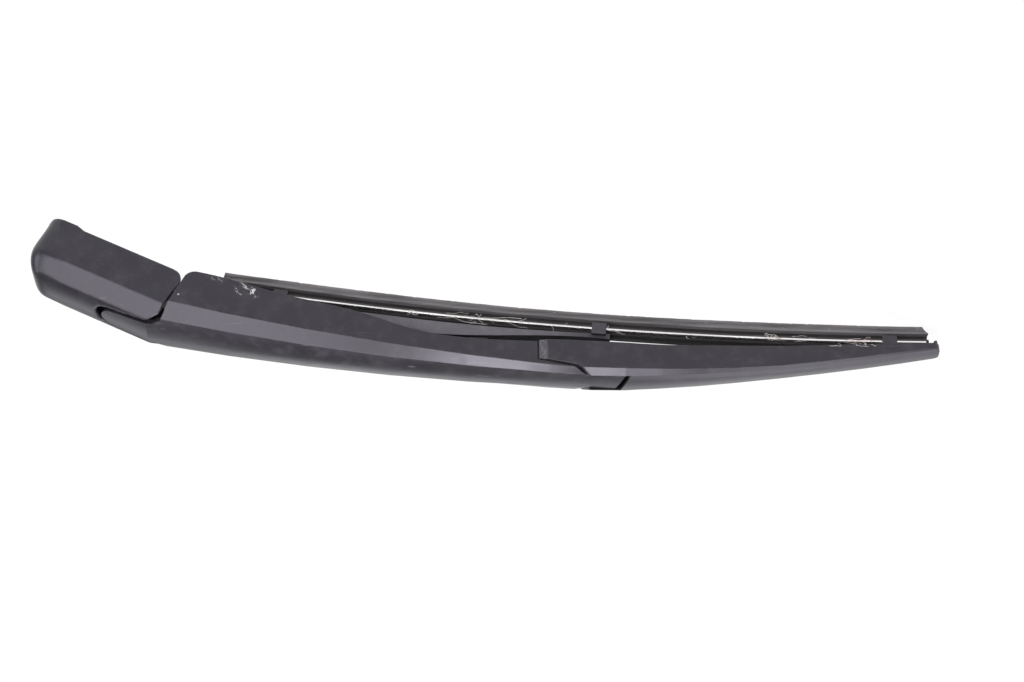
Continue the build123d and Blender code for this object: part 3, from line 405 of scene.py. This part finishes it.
def dusty_rubber():
    """Dark rubber with grey dust in streaks along the lip and shoulder; the groove above stays dark."""
    material, shader, spot = new_material("dusty_rubber")
    lengthwise = spot.turned(-DROOP)
    flat = spot.node("ShaderNodeVectorMath", {"operation": "MULTIPLY"}, {0: spot, 1: (1, 0, 1)})
    centre = (ARC_CENTRE.x, 0.0, ARC_CENTRE.z)
    height = flat.node("ShaderNodeVectorMath", {"operation": "DISTANCE"}, {0: flat, 1: centre}, out=1)
    height = (height - ARC_RADIUS * MM) * MM_PER_METRE
    x = spot.along(ALONG, BLADE_PIVOT)
    y = spot.maths("ABSOLUTE", spot.along(ACROSS, BLADE_PIVOT), 0.0)
    lip = 1 - height.rise(5.0, 5.3)
    tip = 1 - height.rise(0.2, 1.6)
    shoulder = height.between(2.6, 5.0, 0.4)
    flange = height.between(8.3, 9.5, 0.15) * y.rise(2.6, 3.1)
    streaks = lengthwise.noise(520.0, 5.0, (0.05, 1.0, 1.0), 0.6)
    dust = streaks.rise(0.32, 0.66)
    patch = lengthwise.noise(120.0, 4.0, (0.25, 1.0, 1.0)).rise(0.42, 0.7)
    fluff = spot.noise(700.0, 6.0, (0.4, 1.0, 1.0), 0.72).rise(0.62, 0.72)
    grain = spot.noise(1800.0, 3.0)
    red = red_spots(x) * spot.noise(300.0, 4.0).rise(0.5, 0.66)
    black = [(0.3, (0.013, 0.012, 0.0125)), (0.7, (0.024, 0.022, 0.023))]
    base = grain.node("ShaderNodeValToRGB", {"stops": black}, {"Fac": grain})
    base = base.over(lip * (0.3 + dust * 0.45), LIP_DUST)
    base = base.over(flange * (0.2 + dust * 0.4), FLANGE_DUST)
    base = base.over(tip * (0.25 + dust * 0.35), TIP_DUST)
    base = base.over(shoulder * (0.2 + dust * 0.3), SHOULDER_DUST)
    base = base.over(lip * patch * 0.2, PATCH_DUST)
    smudge = x.between(-18.0, -13.0, 1.5) + x.between(-9.0, -4.0, 1.5) + x.between(14.0, 18.0, 2.0)
    smudge = smudge * height.between(0.8, 3.4, 0.5) * fluff
    base = base.over(smudge * 0.55, SMUDGE_GREY)
    base = base.over(lip * fluff * 0.3, FLUFF_GREY)
    base = base.over(red * flange * 0.5, RUBBER_RED)
    relief = grain * 0.5 + streaks * 0.6
    bump = spot.node("ShaderNodeBump", None, {"Strength": 0.35, "Distance": 0.0002, "Height": relief})
    spot.feed(shader.inputs["Base Color"], base)
    spot.feed(shader.inputs["Roughness"], 0.6 + dust * 0.2 + (1 - lip) * 0.15)
    shader.inputs["Specular IOR Level"].default_value = 0.3
    spot.feed(shader.inputs["Normal"], bump)
    return material


def pale_fluff():
    """Off-white lint with darker strands."""
    material, shader, spot = new_material("pale_lint")
    strand = spot.noise(900.0, 3.0)
    off_white = [(0.3, (0.5, 0.48, 0.46)), (0.7, (0.82, 0.8, 0.78))]
    base = strand.node("ShaderNodeValToRGB", {"stops": off_white}, {"Fac": strand})
    spot.feed(shader.inputs["Base Color"], base)
    spot.feed(shader.inputs["Roughness"], 0.8 + strand * 0.1)
    return material


# Meshes


def mesh_piece(name, points, faces, materials, face_slots=None):
    """A mesh object in the row frame."""
    data = bpy.data.meshes.new(name)
    data.from_pydata([tuple(p) for p in points], [], faces)
    for material in materials:
        data.materials.append(material)
    if face_slots:
        data.polygons.foreach_set("material_index", face_slots)
    data.polygons.foreach_set("use_smooth", [True] * len(data.polygons))
    data.update()
    piece = bpy.data.objects.new(name, data)
    bpy.context.scene.collection.objects.link(piece)
    return piece


def ring_faces(rings, count):
    """Faces between rings of points, with both ends closed."""
    faces = []
    for ring in range(rings - 1):
        for side in range(count):
            after = (side + 1) % count
            low = ring * count
            high = low + count
            faces.append((low + side, low + after, high + after, high + side))
    faces.append(tuple(reversed(range(count))))
    faces.append(tuple(range((rings - 1) * count, rings * count)))
    return faces


def wire_mesh(path, radius, sides):
    """Round wire swept along a path of points."""
    points = []
    tangent = (path[1] - path[0]).normalized()
    normal = tangent.orthogonal().normalized()
    for index, spot in enumerate(path):
        ahead = path[min(index + 1, len(path) - 1)]
        behind = path[max(index - 1, 0)]
        turned = (ahead - behind).normalized()
        normal = (normal - turned * normal.dot(turned)).normalized()
        other = turned.cross(normal)
        for side in range(sides):
            angle = 2 * pi * side / sides
            points.append(spot + (normal * cos(angle) + other * sin(angle)) * radius)
    return points, ring_faces(len(path), sides)


# Finishes

cap_finish = satin_plastic("cap_satin_black", PLASTIC_BLACK, edge=1.1)
arm_finish = satin_plastic("arm_satin_black", PLASTIC_BLACK, marks=flank_scuffs, shade=arm_inside_painted_shade)
blade_finish = satin_plastic("blade_satin_black", PLASTIC_BLACK, marks=hood_dust, shade=lever_painted_shade)
yoke_finish = satin_plastic("yoke_dusty_black", YOKE_BLACK, dust=0.6, shade=yoke_back_shade_and_claws)
# painted shade: the inner webs are a darker black than the mouldings
inside_finish = satin_plastic("inside_shade_black", INSIDE_SHADE_BLACK, dust=0.2)
casting_finish = worn_metal("cast_aluminium", (0.5, 0.5, 0.51), 0.48, (0.6, 1.0, 1.0), 0.35)
pin_finish = worn_metal("ground_pin_steel", (0.58, 0.57, 0.56), 0.26, (1.0, 0.1, 1.0), 0.25)
bush_finish = worn_metal("turned_brass", (0.66, 0.5, 0.24), 0.3, (1.0, 0.2, 1.0), 0.3)
spring_finish = worn_metal("oiled_spring_wire", (0.32, 0.31, 0.31), 0.34, (0.5, 1.0, 1.0), 0.45)
strip_finish = strip_metal()
rubber_finish = dusty_rubber()
lint_finish = pale_fluff()

node_finish = {
    "head_cap": cap_finish,
    "arm": arm_finish,
    "blade_frame": blade_finish,
    "yoke": yoke_finish,
    "drive_head": casting_finish,
    "hinge_pin": pin_finish,
    "head_spring_pin": pin_finish,
    "arm_spring_pin": pin_finish,
    "blade_pivot_pin": pin_finish,
    "yoke_pin": pin_finish,
    "hinge_bush_near": bush_finish,
    "hinge_bush_far": bush_finish,
}
for node_name, finish in node_finish.items():
    data = nodes[node_name].data
    data.materials.clear()
    data.materials.append(finish)


# Cap, with its closed end worn round

CAP_VOXEL = 0.37
CAP_END_X = -11.6
CAP_ROUND_TO = 8.0  # the rounding fades out here
CAP_RIM = 1.2  # the rim below this height isn't rounded
CAP_PASSES = 230
CAP_EVENING = 4


def smooth_pass(work, verts):
    """Moves each vertex half of the way to the middle of its neighbours."""
    bmesh.ops.smooth_vert(work, verts=verts, factor=0.5, use_axis_x=True, use_axis_y=True, use_axis_z=True)


cap = bpy.data.objects.new("moulded_cap", nodes["head_cap"].data.copy())
bpy.context.scene.collection.objects.link(cap)
even = cap.modifiers.new("even_mesh", "REMESH")
even.mode = "VOXEL"
even.voxel_size = CAP_VOXEL * MM
even.use_smooth_shade = True
evened = cap.evaluated_get(bpy.context.evaluated_depsgraph_get())
cap_data = bpy.data.meshes.new_from_object(evened)
cap.modifiers.clear()
cap.data = cap_data
work = bmesh.new()
work.from_mesh(cap_data)
soft = [v for v in work.verts if v.co.x < CAP_ROUND_TO * MM and v.co.z > CAP_RIM * MM]
for turn in range(CAP_EVENING):
    smooth_pass(work, work.verts)
for turn in range(CAP_PASSES):
    reach = (CAP_END_X + (CAP_ROUND_TO - CAP_END_X) * (1 - turn / CAP_PASSES)) * MM
    soft = [v for v in soft if v.co.x < reach]
    smooth_pass(work, soft)
for v in work.verts:
    v.co.x = max(v.co.x, cad_box[0].x)
work.to_mesh(cap_data)
work.free()
cap_data.materials.clear()
cap_data.materials.append(cap_finish)
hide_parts("head_cap")
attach(cap, "head")


# Webs inside the mouldings, behind the gaps round the two tongues: dark sheets that close the view through
# the gaps, in a black darker than the mouldings' as painted shade

WEB_THICKNESS = 0.9
WEB_COLUMNS = 14
BEAD_HALF = 0.22  # share of the web's width
COVER_HEIGHT = 10.4
LEDGE_HEIGHT = 9.4
HOOD_WEB_DEPTH = 0.8
SHOULDER_HEIGHT = 0.5


def far_side(outline):
    """A near-side outline mirrored to the far side."""
    return [(x, -y_to, -y_from) for x, y_from, y_to in outline]


def pressed_web(name, origin, along, up, outline, bead):
    """A thin web with a pressed bead down its middle; outline gives its edges as (x, y from, y to)."""
    points = []
    for level in (0.0, -WEB_THICKNESS):
        for x, y_from, y_to in outline:
            for column in range(WEB_COLUMNS + 1):
                share = column / WEB_COLUMNS
                lift = bead * max(0.0, 1 - (abs(share - 0.5) / BEAD_HALF) ** 2) ** 2
                y = y_from + (y_to - y_from) * share
                points.append(origin + (along * x + up * (lift + level) + ACROSS * y) * MM)
    width = WEB_COLUMNS + 1
    rows = len(outline)
    under = rows * width
    faces = []
    for row in range(rows - 1):
        for column in range(WEB_COLUMNS):
            a = row * width + column
            quad = (a + width, a + width + 1, a + 1, a)
            faces.append(quad)
            faces.append(tuple(under + corner for corner in reversed(quad)))
        for a, b in ((row * width, (row + 1) * width), ((row + 2) * width - 1, (row + 1) * width - 1)):
            faces.append((under + a, under + b, b, a))
    for first, last in ((0, WEB_COLUMNS), (under - 1, under - width)):
        step = 1 if last > first else -1
        for a in range(first, last, step):
            faces.append((under + a + step, under + a, a, a + step))
    return mesh_piece(name, points, faces, [inside_finish])


cover_outline = [(19.0 + 1.4 * row, -6.1, 6.1) for row in range(11)]
cover_level = HEAD_UP * (COVER_HEIGHT * MM)
spring_cover = pressed_web("spring_cover", cover_level, HEAD_ALONG, HEAD_UP, cover_outline, 0.6)
ledge_outline = [
    (46.0, 4.7, 12.9),
    (48.5, 4.7, 12.9),
    (51.0, 4.7, 12.9),
    (53.5, 4.7, 12.9),
    (55.0, 4.7, 12.2),
    (56.0, 4.7, 11.6),
    (56.9, 5.2, 11.2),
]
far_ledge = far_side(ledge_outline)
ledge_level = HEAD_UP * (LEDGE_HEIGHT * MM)
cap_ledge_near = pressed_web("cap_ledge_near", ledge_level, HEAD_ALONG, HEAD_UP, ledge_outline, 0.5)
cap_ledge_far = pressed_web("cap_ledge_far", ledge_level, HEAD_ALONG, HEAD_UP, far_ledge, 0.5)
for web in (spring_cover, cap_ledge_near, cap_ledge_far):
    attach(web, "head")
web_outline = [(8.5 + 1.5 * row, -7.0 + 0.05 * row, 7.0 - 0.05 * row) for row in range(9)]
web_level = BLADE_PIVOT - OUTWARD * (HOOD_WEB_DEPTH * MM)
hood_web = pressed_web("hood_web", web_level, ALONG, OUTWARD, web_outline, 0.5)
shoulder_outline = [(-13.0 + 1.3 * row, 6.2, 7.8) for row in range(6)]
far_shoulder = far_side(shoulder_outline)
shoulder_level = BLADE_PIVOT + OUTWARD * (SHOULDER_HEIGHT * MM)
shoulder_web_near = pressed_web("shoulder_web_near", shoulder_level, ALONG, OUTWARD, shoulder_outline, 0.3)
shoulder_web_far = pressed_web("shoulder_web_far", shoulder_level, ALONG, OUTWARD, far_shoulder, 0.3)
for web in (hood_web, shoulder_web_near, shoulder_web_far):
    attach(web, "blade")


# Stop at the blade's tip, with a broken edge

STOP_START = 144.7
STOP_LENGTH = 2.1
STOP_HALF = 2.1
STOP_ROOT = -8.6
STOP_RISE = 3.6
STOP_LEVELS = 7
STOP_SIDES = 24
STOP_TAPER = 0.3
STOP_SLOPE = 0.5


def squared(value):
    """Turns a round outline's sine or cosine into a squarish one's."""
    return abs(value) ** 0.5 * (1 if value > 0 else -1)


chip = Random(3)
points = []
for level in range(STOP_LEVELS):
    rise = level / (STOP_LEVELS - 1)
    slim = 1 - STOP_TAPER * rise ** 3
    for corner in range(STOP_SIDES):
        angle = 2 * pi * corner / STOP_SIDES
        ragged = chip.uniform(-0.25, 0.1) * rise
        along = squared(cos(angle)) * STOP_LENGTH / 2 * slim
        aside = squared(sin(angle)) * STOP_HALF * slim
        height = STOP_ROOT - STOP_RISE * rise + ragged - STOP_SLOPE * rise * along
        x = STOP_START + STOP_LENGTH / 2 + along
        points.append(BLADE_PIVOT + (ALONG * x + OUTWARD * height + ACROSS * aside) * MM)
stop_faces = [tuple(reversed(face)) for face in ring_faces(STOP_LEVELS, STOP_SIDES)]
stop = mesh_piece("tip_stop", points, stop_faces, [blade_finish])
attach(stop, "blade")


# Rubber, its strips and the lint on it

yoke_end = rubber_point(CLAW_MIDDLE_X, 0, GROOVE_TOP)
frame_end = rubber_point(CLAW_RIGHT_X, 0, GROOVE_TOP)
# Half of the rubber's section: distance from the middle and height above the lip
half_profile = [
    (0.34, 0.05),
    (0.36, 0.3),
    (0.6, 2.0),
    (0.86, 3.3),
    (1.1, 3.62),
    (2.3, 4.2),
    (2.5, 4.4),
    (2.5, 4.95),
    (2.36, 5.1),
    (0.8, 5.12),
    (0.8, 8.18),
    (3.05, 8.2),
    (3.2, 8.35),
    (3.2, 9.35),
    (3.05, 9.5),
    (1.3, 9.5),
    (1.3, 10.5),
    (2.28, 10.5),
    (2.4, 10.62),
    (2.4, 11.56),
    (2.28, 11.68),
]
profile = half_profile + [(-y, h) for y, h in reversed(half_profile)]
wander = Random(7)
RUBBER_STEPS = 300
LIP_TOP = 3.3
LIP_WAVE = 0.35
LIP_DRIFT = 0.06
NICK_CHANCE = 0.06
TEAR_START = 0.965
# Height above the lip and how much of the rubber's end is gone there
TORN_EDGE = [
    (0.0, 1.9),
    (1.2, 1.4),
    (2.4, 0.7),
    (3.4, 0.1),
    (5.1, 0.0),
    (5.2, 1.1),
    (8.2, 0.8),
    (8.4, 0.0),
    (12.0, 0.0),
]


def torn_back(height):
    """How far short of its end the rubber is torn off at a height above the lip."""
    for (low, low_cut), (high, high_cut) in zip(TORN_EDGE, TORN_EDGE[1:]):
        if height <= high:
            return low_cut + (high_cut - low_cut) * (height - low) / (high - low)
    return 0.0


points = []
drift = 0.0
for step in range(RUBBER_STEPS + 1):
    share = step / RUBBER_STEPS
    x = RUBBER_LEFT_X + (RUBBER_RIGHT_X - RUBBER_LEFT_X) * share
    drift = 0.82 * drift + wander.uniform(-LIP_DRIFT, LIP_DRIFT)
    nick = wander.uniform(0.05, 0.22) if wander.random() < NICK_CHANCE else 0.0
    lean = LIP_WAVE * sin(9.0 * share + 0.6) + drift
    tear = max(0.0, share - TEAR_START) / (1 - TEAR_START)
    for y, height in profile:
        low = max(0.0, LIP_TOP - height) / LIP_TOP
        ragged = wander.uniform(0.0, 0.25) * tear
        lift = nick * low * low
        short = torn_back(height) + ragged
        points.append(rubber_point(x - short * tear * tear, y + lean * low * low, height + lift))
faces = ring_faces(RUBBER_STEPS + 1, len(profile))
slots = [0] * len(faces)
LINT_BEADS = 26
LINT_SIDE_Y = 4.1
LINT_HEIGHT = 10.6
LINT_LOWEST = 8.2
LINT_HIGHEST = 13.6
LINT_SIDES = 5


def lint(x, y, height, length, wave):
    """Adds one curled fibre to the rubber's mesh."""
    path = []
    heading = wander.uniform(-0.5, 0.5)
    bend = wander.uniform(-wave, wave) * 0.4
    spot_x = x
    spot_h = height
    for bead in range(LINT_BEADS):
        bend = 0.85 * bend + wander.uniform(-wave, wave) * 0.22
        heading += bend
        spot_x += cos(heading) * length / LINT_BEADS
        spot_h += sin(heading) * length / LINT_BEADS * 0.7
        spot_h = min(max(spot_h, LINT_LOWEST), LINT_HIGHEST)
        outside = y + 0.2 * sin(bead * 0.5) + max(0.0, spot_h - 11.3) * 0.5
        path.append(rubber_point(spot_x, outside, spot_h))
    more_points, more_faces = wire_mesh(path, wander.uniform(0.03, 0.06) * MM, LINT_SIDES)
    shift = len(points)
    points.extend(more_points)
    faces.extend(tuple(shift + corner for corner in face) for face in more_faces)
    slots.extend([1] * len(more_faces))


# Blade station, spread, longest fibre, number of fibres and their curl, where lint hangs on the strip
LINT_SPOTS = [
    (-73.0, 1.5, 4.0, 7, 0.8),
    (-62.0, 6.0, 20.0, 3, 0.2),
    (-47.0, 3.0, 8.0, 8, 0.6),
    (-40.0, 8.0, 24.0, 3, 0.22),
    (-16.0, 5.0, 14.0, 2, 0.25),
    (8.0, 4.0, 9.0, 4, 0.5),
    (43.0, 1.5, 4.0, 3, 0.7),
    (76.0, 3.0, 9.0, 6, 0.55),
    (86.0, 4.0, 13.0, 3, 0.25),
    (106.0, 5.0, 12.0, 4, 0.3),
    (116.0, 5.0, 8.0, 6, 0.5),
]
for lint_x, spread, longest, fibres, curl in LINT_SPOTS:
    for strand in range(fibres):
        side_y = LINT_SIDE_Y + wander.uniform(0.0, 0.5)
        start_height = LINT_HEIGHT + wander.uniform(-1.4, 1.6)
        start_x = lint_x + wander.uniform(-spread, spread)
        lint(start_x, side_y, start_height, longest * wander.uniform(0.45, 1.0), curl)
rubber = mesh_piece("rubber_blade", points, faces, [rubber_finish, lint_finish], slots)
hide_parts("wiper_rubber")
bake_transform(rubber)

STRIP_STEPS = 160
strip_profile = [(1.45, 9.6), (3.92, 9.6), (4.0, 9.68), (4.0, 10.32), (3.92, 10.4), (1.45, 10.4)]
for strip_name, facing in (("strip_near", 1), ("strip_far", -1)):
    points = []
    for step in range(STRIP_STEPS + 1):
        share = step / STRIP_STEPS
        x = RUBBER_LEFT_X + STRIP_END + (RUBBER_RIGHT_X - RUBBER_LEFT_X - 2 * STRIP_END) * share
        for y, height in strip_profile:
            points.append(rubber_point(x, facing * y, height))
    strip_faces = ring_faces(STRIP_STEPS + 1, len(strip_profile))
    if facing < 0:
        strip_faces = [tuple(reversed(face)) for face in strip_faces]
    strip = mesh_piece(strip_name + "_rolled", points, strip_faces, [strip_finish])
    for polygon in strip.data.polygons:
        polygon.use_smooth = False
    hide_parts(strip_name)
    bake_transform(strip)


# Wound spring with its two hooks

WIRE_RADIUS = 0.9
COIL_MEAN = 3.1
COIL_START = 27.0
COIL_END = 46.0  # short of the rubber's end, which lifts into the arm
COIL_TURNS = 10.5
EYE_RADIUS = 3.2
EYE_SWEEP = radians(260)
EYE_BEADS = 28
TURN_BEADS = 24
HOOK_STEPS = 8
WIRE_SIDES = 10
spring_run = ARM_ANCHOR - HEAD_ANCHOR
spring_length = spring_run.length / MM
spring_along = spring_run.normalized()
spring_up = spring_along.cross(ACROSS)


def spring_point(x, up, side):
    """A point beside the spring's line, millimetres."""
    return HEAD_ANCHOR + (spring_along * x + spring_up * up + ACROSS * side) * MM


path = []
for bead in range(EYE_BEADS, -1, -1):
    angle = EYE_SWEEP * bead / EYE_BEADS
    path.append(spring_point(-EYE_RADIUS * sin(angle), -EYE_RADIUS * cos(angle), 0))
for step in range(1, HOOK_STEPS):
    path.append(spring_point(COIL_START * step / HOOK_STEPS, -EYE_RADIUS, 0))
beads = round(COIL_TURNS * TURN_BEADS)
for bead in range(beads + 1):
    angle = 2 * pi * bead / TURN_BEADS
    x = COIL_START + (COIL_END - COIL_START) * bead / beads
    path.append(spring_point(x, -COIL_MEAN * cos(angle), COIL_MEAN * sin(angle)))
for step in range(1, HOOK_STEPS):
    path.append(spring_point(COIL_END + (spring_length - COIL_END) * step / HOOK_STEPS, EYE_RADIUS, 0))
for bead in range(EYE_BEADS + 1):
    angle = EYE_SWEEP * bead / EYE_BEADS
    path.append(spring_point(spring_length + EYE_RADIUS * sin(angle), EYE_RADIUS * cos(angle), 0))
points, faces = wire_mesh(path, WIRE_RADIUS * MM, WIRE_SIDES)
spring = mesh_piece("wound_spring", points, faces, [spring_finish])
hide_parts("arm_spring")
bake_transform(spring)


# Floor, light and camera


def studio_white(tree, lit, strength):
    """White for camera, glossy and transmission rays; the lit shader for the rest, so that shadows stay."""
    rays = Tone(tree).node("ShaderNodeLightPath")
    outputs = rays.socket.node.outputs
    seen = Tone(tree, outputs["Is Camera Ray"])
    seen = seen + Tone(tree, outputs["Is Glossy Ray"]) + Tone(tree, outputs["Is Transmission Ray"])
    seen = seen.rise(0.0, 1.0) * strength
    white = rays.node("ShaderNodeEmission", None, {"Color": (1, 1, 1, 1), "Strength": 1.0})
    return rays.node("ShaderNodeMixShader", None, {0: seen, 1: lit, 2: white})


FLOOR_HALF = 30.0
FLOOR_GAP = 0.001
FLOOR_WHITE = 0.9  # the rest shows the shadow
floor_z = cad_box[0].z - FLOOR_GAP
floor_points = [
    (-FLOOR_HALF, -FLOOR_HALF, floor_z),
    (FLOOR_HALF, -FLOOR_HALF, floor_z),
    (FLOOR_HALF, FLOOR_HALF, floor_z),
    (-FLOOR_HALF, FLOOR_HALF, floor_z),
]
floor_finish = bpy.data.materials.new("pale_floor")
floor_finish.use_nodes = True
floor_tree = floor_finish.node_tree
floor_tree.nodes.clear()
floor_tone = Tone(floor_tree)
pale = floor_tone.node("ShaderNodeBsdfDiffuse", None, {"Color": (0.85, 0.85, 0.85, 1)})
floor_out = floor_tree.nodes.new("ShaderNodeOutputMaterial")
floor_tone.feed(floor_out.inputs["Surface"], studio_white(floor_tree, pale, FLOOR_WHITE))
floor = mesh_piece("floor", floor_points, [(0, 1, 2, 3)], [floor_finish])

world = bpy.data.worlds.new("soft_studio")
bpy.context.scene.world = world
world.use_nodes = True
room = world.node_tree.nodes["Background"]
room.inputs["Color"].default_value = (0.96, 0.97, 1.0, 1)
room.inputs["Strength"].default_value = 0.25

AIM = Vector((190.5, 0, -39.6)) * MM  # the camera and the lamps look here
LAMP_DISTANCE = 1.6
WARM_WHITE = (1.0, 0.985, 0.97)
SOFT_WHITE = (1.0, 0.99, 0.98)
PLAIN_WHITE = (1.0, 1.0, 1.0)
COOL_WHITE = (0.97, 0.97, 1.0)
SKY_WHITE = (0.9, 0.94, 1.0)


def soft_lamp(name, direction, width, height, power, tint):
    """Softbox that faces the object."""
    data = bpy.data.lights.new(name, "AREA")
    data.shape = "RECTANGLE"
    data.size = width
    data.size_y = height
    data.energy = power
    data.color = tint
    lamp = bpy.data.objects.new(name, data)
    towards = Vector(direction).normalized()
    lamp.location = AIM + towards * LAMP_DISTANCE
    lamp.rotation_euler = towards.to_track_quat("Z", "Y").to_euler()
    lamp.visible_camera = False
    bpy.context.scene.collection.objects.link(lamp)


soft_lamp("top_softbox", (0.36, 0.12, 0.93), 0.95, 0.7, 30.0, WARM_WHITE)
soft_lamp("front_softbox", (-0.17, 0.74, 0.65), 1.4, 1.0, 23.0, SOFT_WHITE)
soft_lamp("far_softbox", (0.33, -0.92, 0.22), 2.0, 0.8, 7.8, PLAIN_WHITE)
soft_lamp("tip_softbox", (0.64, -0.5, 0.58), 0.7, 0.6, 5.5, PLAIN_WHITE)
soft_lamp("left_softbox", (-0.82, 0.3, 0.46), 0.7, 0.6, 5.0, SKY_WHITE)
soft_lamp("head_softbox", (-0.36, -0.78, 0.51), 0.6, 0.9, 2.4, COOL_WHITE)

PHOTO_WIDTH = 1024
FOCAL_PIXELS = 2614.8
SENSOR = 36.0
CAMERA_DISTANCE = 1.1
camera_data = bpy.data.cameras.new("photo_camera")
camera_data.sensor_fit = "HORIZONTAL"
camera_data.sensor_width = SENSOR
camera_data.lens = FOCAL_PIXELS / PHOTO_WIDTH * SENSOR
camera_data.clip_start = 0.01
camera = bpy.data.objects.new("photo_camera", camera_data)
bpy.context.scene.collection.objects.link(camera)
bpy.context.scene.camera = camera
right = Vector((0.8949, 0.0, -0.4462)).normalized()
back = Vector((0.243, 0.839, 0.487))
back = (back - right * back.dot(right)).normalized()
up = back.cross(right)
stand = Matrix.Translation(AIM + back * CAMERA_DISTANCE)
camera.matrix_world = stand @ Matrix((right, up, back)).transposed().to_4x4()

bpy.context.scene.view_settings.view_transform = "Standard"
